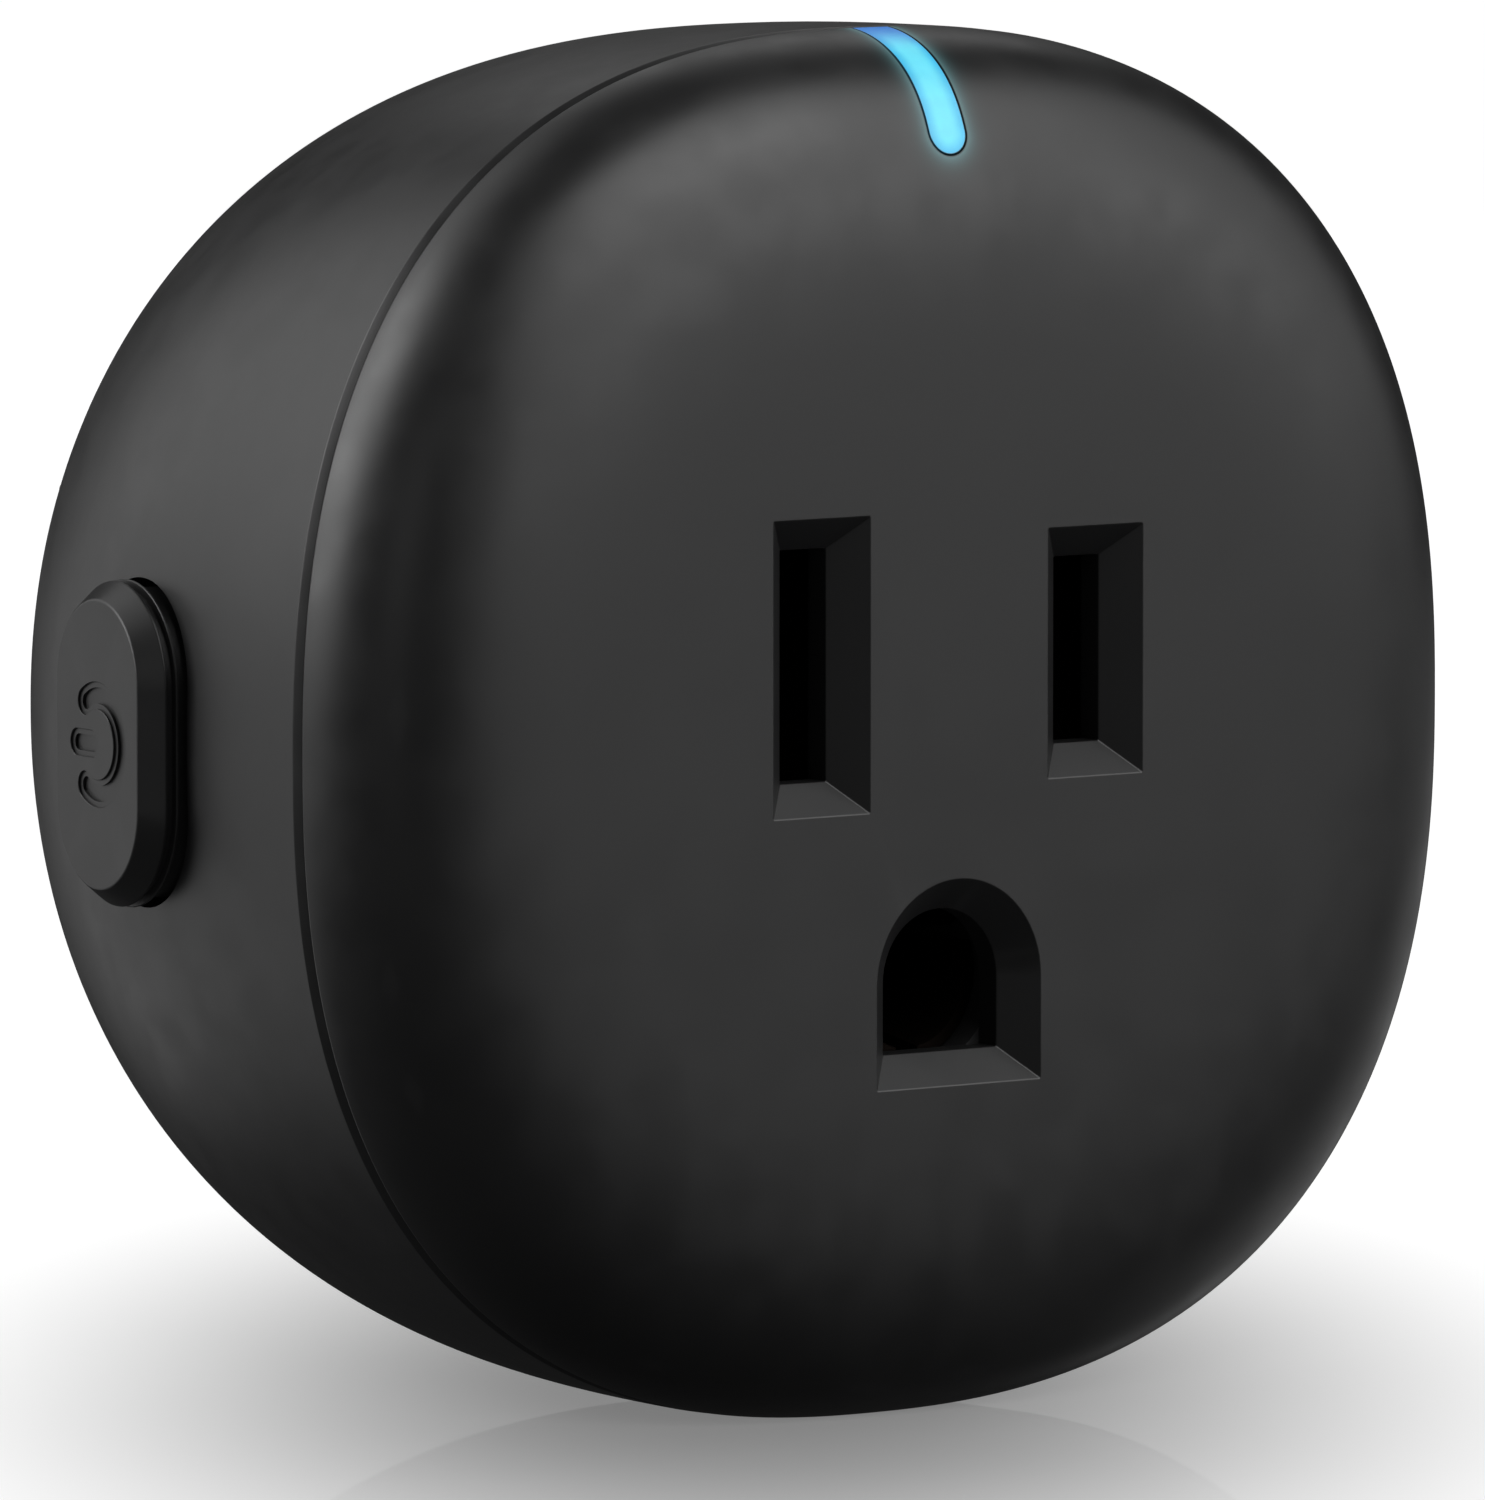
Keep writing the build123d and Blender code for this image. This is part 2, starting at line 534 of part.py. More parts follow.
LEADS = {  # where each piece's leads pass through the main board
    "reservoir_capacitor": ((-4.9, 9.8), (-4.9, 13.4)),
    "film_capacitor": ((0.6, 10.7), (7.6, 10.7)),
    "surge_varistor": ((-8.6, -18.4), (-3.6, -18.4)),
    "fuse_resistor": ((-0.4, -19.4), (-0.4, -17.4)),
    "choke_core": ((3.2, -18.6), (6.4, -18.6)),
    "relay_pins": ((12.0, -10.3), (16.2, -10.3), (12.0, 6.0), (16.2, 6.0), (14.1, -10.3)),
}
HEADER_PITCH = 2.4
HEADER_Z = [CONTROL_BOARD_Z[0] + 2.5 + HEADER_PITCH * i for i in range(6)]
HEADER_X = -13.4
HEADER_BACK_X = -12.0
HEADER_FRONT_Y = -10.4
PIN_HALF = 0.28
PIN_HOLE_RADIUS = 0.5
TAIL_HOLE = 1.1

with BuildPart() as main_board:
    with BuildSketch(Plane(origin=(0, BOARD_BACK_Y, BODY_CENTER_Z), x_dir=(1, 0, 0), z_dir=(0, -1, 0))):
        outline(BOARD_HALF_SIZE, BOARD_HALF_SIZE, BOARD_EXPONENT)
    extrude(amount=BOARD_BACK_Y - BOARD_FRONT_Y)
    for x, z in SCREW_SPOTS:
        rod(x, z, SCREW_RADIUS + 0.2, BOARD_FRONT_Y, BOARD_BACK_Y, mode=Mode.SUBTRACT)
    for x in (-BLADE_X, BLADE_X):
        side = BLADE_THICKNESS / 2 + SLIP
        half = TAIL_WIDTH / 2 + SLIP
        block((x - side, BOARD_FRONT_Y, -half), (x + side, BOARD_BACK_Y, half), mode=Mode.SUBTRACT)
    rod(0, GROUND_Z, GROUND_STUB_RADIUS + SLIP, BOARD_FRONT_Y, BOARD_BACK_Y, mode=Mode.SUBTRACT)
    tail_holes = [(-BLADE_X, CONTACT_TAIL_Z), (BLADE_X, CONTACT_TAIL_Z), (0, GROUND_TAIL_Z)]
    for x, z in tail_holes:
        lead(x, z, size=TAIL_HOLE, mode=Mode.SUBTRACT)
    lead_holes = [spot for spots in LEADS.values() for spot in spots]
    for x, z in lead_holes + [(HEADER_X, z) for z in HEADER_Z]:
        rod(x, z, PIN_HOLE_RADIUS, BOARD_FRONT_Y, BOARD_BACK_Y, mode=Mode.SUBTRACT)

with BuildPart() as control_board:
    block(
        (CONTROL_BOARD_X[0], CONTROL_BOARD_FRONT_Y, CONTROL_BOARD_Z[0]),
        (CONTROL_BOARD_X[1], BOARD_FRONT_Y, CONTROL_BOARD_Z[1]),
    )

with BuildPart() as header_block:
    block(
        (CONTROL_BOARD_X[1], HEADER_FRONT_Y, HEADER_Z[0] - HEADER_PITCH / 2),
        (HEADER_BACK_X, BOARD_FRONT_Y, HEADER_Z[-1] + HEADER_PITCH / 2),
    )
    for z in HEADER_Z:
        lead(HEADER_X, z, HEADER_FRONT_Y, 2 * PIN_HALF + 0.04, mode=Mode.SUBTRACT)

with BuildPart() as header_pins:
    for z in HEADER_Z:
        lead(HEADER_X, z, HEADER_FRONT_Y - 1.0, 2 * PIN_HALF)
        block(
            (CONTROL_BOARD_X[1], HEADER_FRONT_Y - 1.0, z - PIN_HALF),
            (HEADER_X + PIN_HALF, HEADER_FRONT_Y - 1.0 + 2 * PIN_HALF, z + PIN_HALF),
        )

with BuildPart() as board_screws:
    for x, z in SCREW_SPOTS:
        rod(x, z, SCREW_RADIUS, BOARD_FRONT_Y, SCREW_TIP_Y)
        rod(x, z, SCREW_HEAD_RADIUS, BOARD_FRONT_Y - SCREW_HEAD_HEIGHT, BOARD_FRONT_Y)
    head_tops = board_screws.faces().filter_by(Axis.Y).group_by(Axis.Y)[0]
    fillet(head_tops.edges(), 0.5)
    for x, z in SCREW_SPOTS:
        for turn in (0, 90):
            with Locations(Location((x, BOARD_FRONT_Y - SCREW_HEAD_HEIGHT, z), (0, turn, 0))):
                Box(*SCREW_RECESS, mode=Mode.SUBTRACT)

# ---------------------------------------------------------------- parts on the control board

MODULE_Y = (-24.5, -12.5)
MODULE_Z = (-9.0, 5.0)
MODULE_TOP_X = -13.2
SHIELD_TOP_X = -11.4
ANTENNA_LENGTH = 3.5  # the end of the module that the shield leaves bare

with BuildPart() as wifi_module:
    block(
        (CONTROL_BOARD_X[1], MODULE_Y[0], MODULE_Z[0]),
        (MODULE_TOP_X, MODULE_Y[1], MODULE_Z[1]),
    )

with BuildPart() as wifi_shield:
    block(
        (MODULE_TOP_X, MODULE_Y[0] + ANTENNA_LENGTH, MODULE_Z[0] + 0.5),
        (SHIELD_TOP_X, MODULE_Y[1] - 0.5, MODULE_Z[1] - 0.5),
    )
    fillet(wifi_shield.edges().filter_by(Axis.X), 0.8)
    fillet(wifi_shield.faces().sort_by(Axis.X)[-1].edges(), 0.3)

# ---------------------------------------------------------------- parts on the main board

RESERVOIR_SPOT = (-4.9, 11.6)
RESERVOIR_RADIUS = 3.9
RESERVOIR_FRONT_Y = -19.5
RESERVOIR_GROOVE = (0.3, 0.5)  # depth and width of the rolled groove round its foot
RESERVOIR_VENT = (5.0, 0.3)  # length and width of each arm of the scored cross
FILM_LOW = (-0.2, -16.5, 8.2)
FILM_HIGH = (8.4, BOARD_FRONT_Y, 13.2)
VARISTOR_CENTER = (-6.1, -13.2, -18.4)
VARISTOR_RADIUS = 3.8
VARISTOR_THICKNESS = 3.0
FUSE_SPOTS = LEADS["fuse_resistor"]
FUSE_RADIUS = 1.3
FUSE_Y = (-15.5, -9.0)
FUSE_LOOP_Y = -16.6  # the far lead's bend back towards the board
CHOKE_SPOT = (4.8, -18.6)
CHOKE_FLANGE = (2.5, 1.0)  # radius and thickness
CHOKE_NECK_RADIUS = 1.2
CHOKE_NECK_LENGTH = 4.0
CHOKE_WINDING_RADIUS = 2.2
LED_PLATE = (1.0, 0.65, 0.5)  # half width, half height and thickness
LED_DOME = (0.6, 0.6, 0.6)

with BuildPart() as reservoir_capacitor:
    x, z = RESERVOIR_SPOT
    rod(x, z, RESERVOIR_RADIUS, RESERVOIR_FRONT_Y, BOARD_FRONT_Y)
    fillet(reservoir_capacitor.edges(), 0.5)
    groove_depth, groove_width = RESERVOIR_GROOVE
    with BuildSketch(plane_y(BOARD_FRONT_Y - 2.2)):
        with Locations((x, z)):
            Circle(RESERVOIR_RADIUS)
            Circle(RESERVOIR_RADIUS - groove_depth, mode=Mode.SUBTRACT)
    extrude(amount=groove_width, mode=Mode.SUBTRACT)
    for turn in (0, 90):
        with Locations(Location((x, RESERVOIR_FRONT_Y, z), (0, turn, 0))):
            Box(RESERVOIR_VENT[0], RESERVOIR_VENT[1], RESERVOIR_VENT[1], mode=Mode.SUBTRACT)
    for spot in LEADS["reservoir_capacitor"]:
        lead(*spot)

with BuildPart() as film_capacitor:
    block(FILM_LOW, FILM_HIGH)
    fillet(film_capacitor.faces().sort_by(Axis.Y)[0].edges(), 0.5)
    for spot in LEADS["film_capacitor"]:
        lead(*spot)

with BuildPart() as surge_varistor:
    with BuildSketch(Plane(origin=VARISTOR_CENTER, z_dir=(0, 0, 1))):
        Circle(VARISTOR_RADIUS)
    extrude(amount=VARISTOR_THICKNESS / 2, both=True)
    fillet(surge_varistor.edges(), 0.3 * VARISTOR_THICKNESS)
    for x, z in LEADS["surge_varistor"]:
        lead(x, z, VARISTOR_CENTER[1] + 1.7)

with BuildPart() as fuse_resistor:
    (near_x, near_z), (far_x, far_z) = FUSE_SPOTS
    half = LEAD_SIZE / 2
    rod(near_x, near_z, FUSE_RADIUS, *FUSE_Y)
    fillet(fuse_resistor.edges(), 0.5)
    lead(near_x, near_z, FUSE_Y[1] - 0.4)
    block((near_x - half, FUSE_LOOP_Y, near_z - half), (near_x + half, FUSE_Y[0] + half, near_z + half))
    block((near_x - half, FUSE_LOOP_Y, near_z - half), (far_x + half, FUSE_LOOP_Y + LEAD_SIZE, far_z + half))
    lead(far_x, far_z, FUSE_LOOP_Y)

flange_radius, flange_thickness = CHOKE_FLANGE
neck_back_y = BOARD_FRONT_Y - flange_thickness
neck_front_y = neck_back_y - CHOKE_NECK_LENGTH
with BuildPart() as choke_core:
    rod(*CHOKE_SPOT, flange_radius, neck_back_y, BOARD_FRONT_Y)
    rod(*CHOKE_SPOT, CHOKE_NECK_RADIUS, neck_front_y, neck_back_y)
    rod(*CHOKE_SPOT, flange_radius, neck_front_y - flange_thickness, neck_front_y)
    for spot in LEADS["choke_core"]:
        lead(*spot)

with BuildPart() as choke_winding:
    rod(*CHOKE_SPOT, CHOKE_WINDING_RADIUS, neck_front_y + SLIP, neck_back_y - SLIP)
    rod(*CHOKE_SPOT, CHOKE_NECK_RADIUS + SLIP, neck_front_y, neck_back_y, mode=Mode.SUBTRACT)

with BuildPart() as status_led:
    front_y = BOARD_FRONT_Y
    for half_x, half_z, thickness in (LED_PLATE, LED_DOME):
        block(
            (-half_x, front_y - thickness, LED_CENTER_Z - half_z),
            (half_x, front_y, LED_CENTER_Z + half_z),
        )
        front_y -= thickness


CHIP_STANDOFF = 0.15
CHIP_LEG = (0.8, 0.2, 0.3)  # reach beyond the body, half width and thickness


def chip(center, size, leg_count):
    """A surface-mount chip on the back of the main board, with legs along its two long sides."""
    x, z = center
    half_x, half_z = size[0] / 2, size[1] / 2
    with BuildPart() as piece:
        block(
            (x - half_x, BOARD_BACK_Y + CHIP_STANDOFF, z - half_z),
            (x + half_x, BOARD_BACK_Y + size[2], z + half_z),
        )
        chamfer(piece.faces().sort_by(Axis.Y)[-1].edges(), 0.2)
        reach, half_leg, leg_thickness = CHIP_LEG
        for i in range(leg_count):
            leg_z = z + size[1] * ((i + 0.5) / leg_count - 0.5)
            block(
                (x - half_x - reach, BOARD_BACK_Y, leg_z - half_leg),
                (x + half_x + reach, BOARD_BACK_Y + leg_thickness, leg_z + half_leg),
            )
    return piece


bridge_rectifier = chip((12.4, 2.0), (3.8, 4.8, 1.8), 2)
regulator_chip = chip((12.4, -5.4), (3.4, 4.8, 1.5), 4)

# ---------------------------------------------------------------- relay

BOBBIN_FLANGES = (0.6, 0.5)  # thickness at the yoke's end and at the pole's end
YOKE_HALF_WIDTH = 2.2
YOKE_ARM_THICKNESS = 0.9
POLE_RADIUS = 2.2
ARMATURE_HALF_WIDTH = 2.1
SPRING_LEAF_THICKNESS = 0.4
RELAY_BUTTON = (1.0, 0.4)  # radius and height of each contact's head
RELAY_CONTACT_GAP = 0.3
FIXED_STRIP_HALF_WIDTH = 1.6

relay_mid_x = (RELAY_LOW[0] + RELAY_HIGH[0]) / 2
base_front_y = BOARD_FRONT_Y - RELAY_BASE_THICKNESS

with BuildPart() as relay_base:
    block(
        (RELAY_LOW[0], base_front_y, RELAY_LOW[2]),
        (RELAY_HIGH[0], BOARD_FRONT_Y, RELAY_HIGH[2]),
    )
    for x, z in LEADS["relay_pins"]:
        rod(x, z, PIN_HOLE_RADIUS, base_front_y, BOARD_FRONT_Y, mode=Mode.SUBTRACT)

with BuildPart() as relay_cover:
    block(RELAY_LOW, (RELAY_HIGH[0], base_front_y, RELAY_HIGH[2]))
    fillet(relay_cover.faces().sort_by(Axis.Y)[0].edges(), 0.5)
    fillet(relay_cover.edges().filter_by(Axis.Y), 0.3)
    inner_low = [value + RELAY_WALL for value in RELAY_LOW]
    inner_high = (RELAY_HIGH[0] - RELAY_WALL, base_front_y, RELAY_HIGH[2] - RELAY_WALL)
    block(inner_low, inner_high, mode=Mode.SUBTRACT)


def coil_rod(radius, from_z, to_z, mode=Mode.ADD):
    """A round rod along the coil's axis, in the current part."""
    with Locations((relay_mid_x, COIL_Y, (from_z + to_z) / 2)):
        Cylinder(radius, to_z - from_z, mode=mode)


coil_back_z = COIL_Z[0] - BOBBIN_FLANGES[0]
coil_front_z = COIL_Z[1] + BOBBIN_FLANGES[1]
spool_radius = CORE_RADIUS + 0.5
with BuildPart() as relay_bobbin:
    coil_rod(COIL_RADIUS + 0.1, coil_back_z, COIL_Z[0])
    coil_rod(spool_radius, *COIL_Z)
    coil_rod(COIL_RADIUS + 0.1, COIL_Z[1], coil_front_z)
    coil_rod(CORE_RADIUS + SLIP, coil_back_z, coil_front_z, mode=Mode.SUBTRACT)

with BuildPart() as relay_coil:
    coil_rod(COIL_RADIUS - 0.1, COIL_Z[0] + SLIP, COIL_Z[1] - SLIP)
    coil_rod(spool_radius + SLIP, *COIL_Z, mode=Mode.SUBTRACT)

with BuildPart() as relay_yoke:
    low_x, high_x = relay_mid_x - YOKE_HALF_WIDTH, relay_mid_x + YOKE_HALF_WIDTH
    block((low_x, PIVOT_Y, coil_back_z - 0.7 * YOKE_THICKNESS), (high_x, COIL_Y + 2.2, coil_back_z))
    block((low_x, PIVOT_Y, coil_back_z), (high_x, PIVOT_Y + YOKE_ARM_THICKNESS, POLE_Z))

with BuildPart() as relay_core:
    coil_rod(CORE_RADIUS, coil_back_z, coil_front_z)
    coil_rod(POLE_RADIUS, coil_front_z, POLE_Z)

armature_z = POLE_Z + ARMATURE_GAP
leaf_z = armature_z + ARMATURE_THICKNESS
button_radius, button_height = RELAY_BUTTON
with BuildPart() as relay_armature:
    low_x, high_x = relay_mid_x - ARMATURE_HALF_WIDTH, relay_mid_x + ARMATURE_HALF_WIDTH
    block((low_x, PIVOT_Y + 0.2, armature_z), (high_x, COIL_Y + 2.0, leaf_z))
    block((low_x, RELAY_CONTACT_Y - 1.2, leaf_z), (high_x, PIVOT_Y + 1.4, leaf_z + SPRING_LEAF_THICKNESS))
    with Locations((relay_mid_x, RELAY_CONTACT_Y, leaf_z + SPRING_LEAF_THICKNESS + 0.2)):
        Cylinder(button_radius, button_height + 0.1)

with BuildPart() as relay_fixed_contact:
    head_z = leaf_z + SPRING_LEAF_THICKNESS + button_height + RELAY_CONTACT_GAP + SLIP
    strip_z = head_z + button_height
    with Locations((relay_mid_x, RELAY_CONTACT_Y, head_z + button_height / 2)):
        Cylinder(button_radius, button_height)
    block(
        (relay_mid_x - FIXED_STRIP_HALF_WIDTH, RELAY_CONTACT_Y - 1.2, strip_z),
        (relay_mid_x + FIXED_STRIP_HALF_WIDTH, base_front_y, strip_z + 0.4),
    )

with BuildPart() as relay_pins:
    for x, z in LEADS["relay_pins"]:
        lead(x, z, base_front_y)

# ---------------------------------------------------------------- write every piece

PIECES = {
    "front_cover": front_cover,
    "rear_housing": rear_housing,
    "light_pipe": light_pipe,
    "status_led": status_led,
    "power_button": power_button,
    "switch_body": switch_body,
    "switch_plunger": switch_plunger,
    "neutral_blade": neutral_blade,
    "line_blade": line_blade,
    "ground_pin": ground_pin,
    "blade_retainer": blade_retainer,
    "contact_holder": contact_holder,
    "neutral_contact": neutral_contact,
    "line_contact": line_contact,
    "ground_contact": ground_contact,
    "main_board": main_board,
    "control_board": control_board,
    "header_block": header_block,
    "header_pins": header_pins,
    "board_screws": board_screws,
    "wifi_module": wifi_module,
    "wifi_shield": wifi_shield,
    "reservoir_capacitor": reservoir_capacitor,
    "film_capacitor": film_capacitor,
    "surge_varistor": surge_varistor,
    "fuse_resistor": fuse_resistor,
    "choke_core": choke_core,
    "choke_winding": choke_winding,
    "bridge_rectifier": bridge_rectifier,
    "regulator_chip": regulator_chip,
    "relay_base": relay_base,
    "relay_cover": relay_cover,
    "relay_bobbin": relay_bobbin,
    "relay_coil": relay_coil,
    "relay_core": relay_core,
    "relay_yoke": relay_yoke,
    "relay_armature": relay_armature,
    "relay_fixed_contact": relay_fixed_contact,
    "relay_pins": relay_pins,
}
for name, piece in PIECES.items():
    finish(piece, name)
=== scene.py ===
"""Looks of the smart plug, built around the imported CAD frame.

Units are metres in Blender. Shapes are worked out in millimetres and scaled once by MM.
"""

import json
from math import cos, exp, pi, radians, sin, tan

import bmesh
import bpy
import numpy as np
from mathutils import Matrix, Vector

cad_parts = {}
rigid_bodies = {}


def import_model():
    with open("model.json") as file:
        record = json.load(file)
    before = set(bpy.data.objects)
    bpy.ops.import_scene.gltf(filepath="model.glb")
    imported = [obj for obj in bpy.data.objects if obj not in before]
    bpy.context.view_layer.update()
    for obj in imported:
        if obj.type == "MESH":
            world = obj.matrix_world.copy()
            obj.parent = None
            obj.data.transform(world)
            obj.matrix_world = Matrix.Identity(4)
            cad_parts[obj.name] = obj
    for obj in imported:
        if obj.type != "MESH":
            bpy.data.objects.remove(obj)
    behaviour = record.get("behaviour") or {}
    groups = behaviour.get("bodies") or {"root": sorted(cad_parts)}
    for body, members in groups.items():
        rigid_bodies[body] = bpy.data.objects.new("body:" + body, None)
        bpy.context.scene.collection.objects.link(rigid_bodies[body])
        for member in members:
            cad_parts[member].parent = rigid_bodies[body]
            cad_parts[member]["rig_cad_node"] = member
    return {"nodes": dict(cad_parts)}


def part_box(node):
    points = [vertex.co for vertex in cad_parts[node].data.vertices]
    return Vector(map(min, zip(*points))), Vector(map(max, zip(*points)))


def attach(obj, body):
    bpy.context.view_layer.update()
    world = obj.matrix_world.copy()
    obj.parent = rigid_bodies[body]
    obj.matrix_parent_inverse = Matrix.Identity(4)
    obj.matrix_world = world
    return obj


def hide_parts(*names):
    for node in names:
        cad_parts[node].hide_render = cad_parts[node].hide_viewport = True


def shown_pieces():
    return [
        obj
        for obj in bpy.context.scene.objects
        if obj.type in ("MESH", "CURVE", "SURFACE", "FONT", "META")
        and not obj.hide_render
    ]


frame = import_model()
bpy.context.view_layer.update()

MM = 0.001

# ---------------------------------------------------------------- sizes, from the frame

housing_low, housing_high = (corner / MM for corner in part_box("rear_housing"))
cover_low, cover_high = (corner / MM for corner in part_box("front_cover"))
HALF_WIDTH = round((housing_high.x - housing_low.x) / 2, 2)
HALF_HEIGHT = round((housing_high.z - housing_low.z) / 2, 2)
CENTER_Z = round((housing_high.z + housing_low.z) / 2, 2)
FACE_Y = round(cover_low.y, 2)
SEAM_DEPTH = round(cover_high.y - FACE_Y, 2)
BODY_DEPTH = -FACE_Y
FLOOR_Z = CENTER_Z - HALF_HEIGHT

# The body's form: the same formula as the CAD shells.
WIDEST_DEPTH = 5.87
FRONT_ROUNDNESS = (9.65, 1.81)
REAR_APEX_DEPTH = 38.3
REAR_ROUNDNESS = (2.59, 2.75)
OUTLINE_EXPONENT = 2.41
OUTLINE_SOFTENING = 0.0116
FACE_WALL = 2.2
SIDE_WALL = 2.0
BACK_WALL = 2.2
REVEAL_WIDTH = 0.5
REVEAL_INSET = 0.6
REVEAL_SLIT = 0.12
RIM_DROP = 0.17  # how far the housing's sloped rim falls towards the seam
COVER_SKIRT = 1.25
TONGUE_INSET = 1.3
TONGUE_TIP_DEPTH = 3.8
COVER_CAVITY_INSET = 3.4
SEGMENTS = 288
SOFT_EDGE = 0.05  # how far a moulded edge's rounding reaches on each side
CREASE_ANGLE = 35  # degrees; a sharper edge than this is shaded as an edge

# ---------------------------------------------------------------- form of the body

FRONT_TOLERANCE = 0.02  # a point further than this from the formula's surface is off it
REAR_TOLERANCE = 0.03


def front_depth(share):
    radial, deep = FRONT_ROUNDNESS
    return WIDEST_DEPTH * (1 - max(0.0, 1 - share**radial) ** (1 / deep))


def rear_share(depth, apex=REAR_APEX_DEPTH):
    radial, deep = REAR_ROUNDNESS
    along = max(0.0, (depth - WIDEST_DEPTH) / (apex - WIDEST_DEPTH))
    return (1 - along**deep) ** (1 / radial)


def exponent_at(depth):
    return OUTLINE_EXPONENT - OUTLINE_SOFTENING * max(0.0, depth - WIDEST_DEPTH)


def outline(half_width, half_height, exponent, depth):
    """One ring of points round the body, at a depth behind the socket face."""
    ring = []
    for i in range(SEGMENTS):
        angle = 2 * pi * i / SEGMENTS
        c, s = cos(angle), sin(angle)
        x = half_width * abs(c) ** (2 / exponent) * (1 if c >= 0 else -1)
        z = half_height * abs(s) ** (2 / exponent) * (1 if s >= 0 else -1)
        ring.append((x, FACE_Y + depth, CENTER_Z + z))
    return ring


def scaled_ring(share, depth):
    return outline(HALF_WIDTH * share, HALF_HEIGHT * share, exponent_at(depth), depth)


def inset_ring(inset, depth):
    return outline(HALF_WIDTH - inset, HALF_HEIGHT - inset, OUTLINE_EXPONENT, depth)


def share_at(x, z, exponent):
    return ((abs(x) / HALF_WIDTH) ** exponent + (abs(z) / HALF_HEIGHT) ** exponent) ** (1 / exponent)


def front_normal(point):
    """The exact outward normal of the front surface, or None off it."""
    x, z = point[0], point[2] - CENTER_Z
    depth = point[1] - FACE_Y
    n = OUTLINE_EXPONENT
    share = share_at(x, z, n)
    if share >= 0.99999 or abs(front_depth(share) - depth) > FRONT_TOLERANCE:
        return None
    radial, deep = FRONT_ROUNDNESS
    slope = WIDEST_DEPTH / deep * (1 - share**radial) ** (1 / deep - 1) * radial * share ** (radial - 1)
    if share < 1e-6:
        return Vector((0, -1, 0))
    gx = slope * share ** (1 - n) * abs(x / HALF_WIDTH) ** (n - 1) / HALF_WIDTH * (1 if x >= 0 else -1)
    gz = slope * share ** (1 - n) * abs(z / HALF_HEIGHT) ** (n - 1) / HALF_HEIGHT * (1 if z >= 0 else -1)
    return Vector((gx, -1, gz)).normalized()


def rear_gap(x, y, z):
    """How far a point's share of the outline is beyond the rear surface."""
    depth = y - FACE_Y
    return share_at(x, z - CENTER_Z, exponent_at(depth)) - rear_share(min(depth, REAR_APEX_DEPTH - 0.01))


def rear_normal(point):
    """The exact outward normal of the rear surface, or None off it."""
    x, y, z = point
    if abs(rear_gap(x, y, z)) * HALF_WIDTH > REAR_TOLERANCE:
        return None
    step = 1e-3
    return Vector(
        (
            rear_gap(x + step, y, z) - rear_gap(x - step, y, z),
            rear_gap(x, y + step, z) - rear_gap(x, y - step, z),
            rear_gap(x, y, z + step) - rear_gap(x, y, z - step),
        )
    ).normalized()


# ---------------------------------------------------------------- mesh tools


def add_ring(bm, points):
    return [bm.verts.new(p) for p in points]


def bridge(bm, first, second):
    """Quads between two closed rings with the same number of points."""
    count = len(first)
    for i in range(count):
        j = (i + 1) % count
        bm.faces.new((first[i], first[j], second[j], second[i]))


def bridge_all(bm, rings):
    """Quads along a whole row of rings."""
    for first, second in zip(rings, rings[1:]):
        bridge(bm, first, second)


def loop_edges(bm, ring):
    edges = []
    for i, vert in enumerate(ring):
        other = ring[(i + 1) % len(ring)]
        edges.append(bm.edges.get((vert, other)) or bm.edges.new((vert, other)))
    return edges


def fill_flat(bm, outer, holes=()):
    """Fills a flat area between an outer ring and the rings of its holes."""
    edges = loop_edges(bm, outer)
    for hole in holes:
        edges += loop_edges(bm, hole)
    bmesh.ops.triangle_fill(bm, use_beauty=True, use_dissolve=False, edges=edges)


def make_piece(name, bm, body="plug_body", replaces=None):
    """A finished object from a bmesh in millimetres, riding on a body."""
    bmesh.ops.recalc_face_normals(bm, faces=bm.faces)
    mesh = bpy.data.meshes.new(name)
    bm.to_mesh(mesh)
    bm.free()
    piece = bpy.data.objects.new(name, mesh)
    bpy.context.scene.collection.objects.link(piece)
    if body:
        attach(piece, body)
    if replaces:
        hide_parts(replaces)
    return piece


def cut(piece, cutter, operation="DIFFERENCE"):
    """Applies an exact boolean and removes the cutter."""
    modifier = piece.modifiers.new("cut", "BOOLEAN")
    modifier.operation = operation
    modifier.solver = "EXACT"
    modifier.object = cutter
    graph = bpy.context.evaluated_depsgraph_get()
    mesh = bpy.data.meshes.new_from_object(piece.evaluated_get(graph))
    piece.modifiers.clear()
    old = piece.data
    piece.data = mesh
    mesh.name = piece.name
    bpy.data.meshes.remove(old)
    bpy.data.objects.remove(cutter)


def set_normals(piece, skin=None):
    """Smooth normals, weighted by area, split at creases. On the skin they are the form's exact normals."""
    mesh = piece.data
    limit = cos(radians(CREASE_ANGLE))
    for polygon in mesh.polygons:
        polygon.use_smooth = True
    around = [[] for _ in mesh.vertices]
    for polygon in mesh.polygons:
        for vertex in polygon.vertices:
            around[vertex].append(polygon)
    exact = {}
    normals = []
    for polygon in mesh.polygons:
        for vertex in polygon.vertices:
            if skin is not None:
                if vertex not in exact:
                    exact[vertex] = skin(mesh.vertices[vertex].co)
                if exact[vertex] is not None and exact[vertex].dot(polygon.normal) > 0.97:
                    normals.append(exact[vertex])
                    continue
            total = Vector()
            for other in around[vertex]:
                if other.normal.dot(polygon.normal) > limit:
                    total += other.normal * other.area
            normals.append(total.normalized() if total.length > 0 else polygon.normal.copy())
    mesh.normals_split_custom_set(normals)


def to_metres(piece):
    piece.data.transform(Matrix.Scale(MM, 4))
    piece.data.update()


# ---------------------------------------------------------------- front cover and light bar

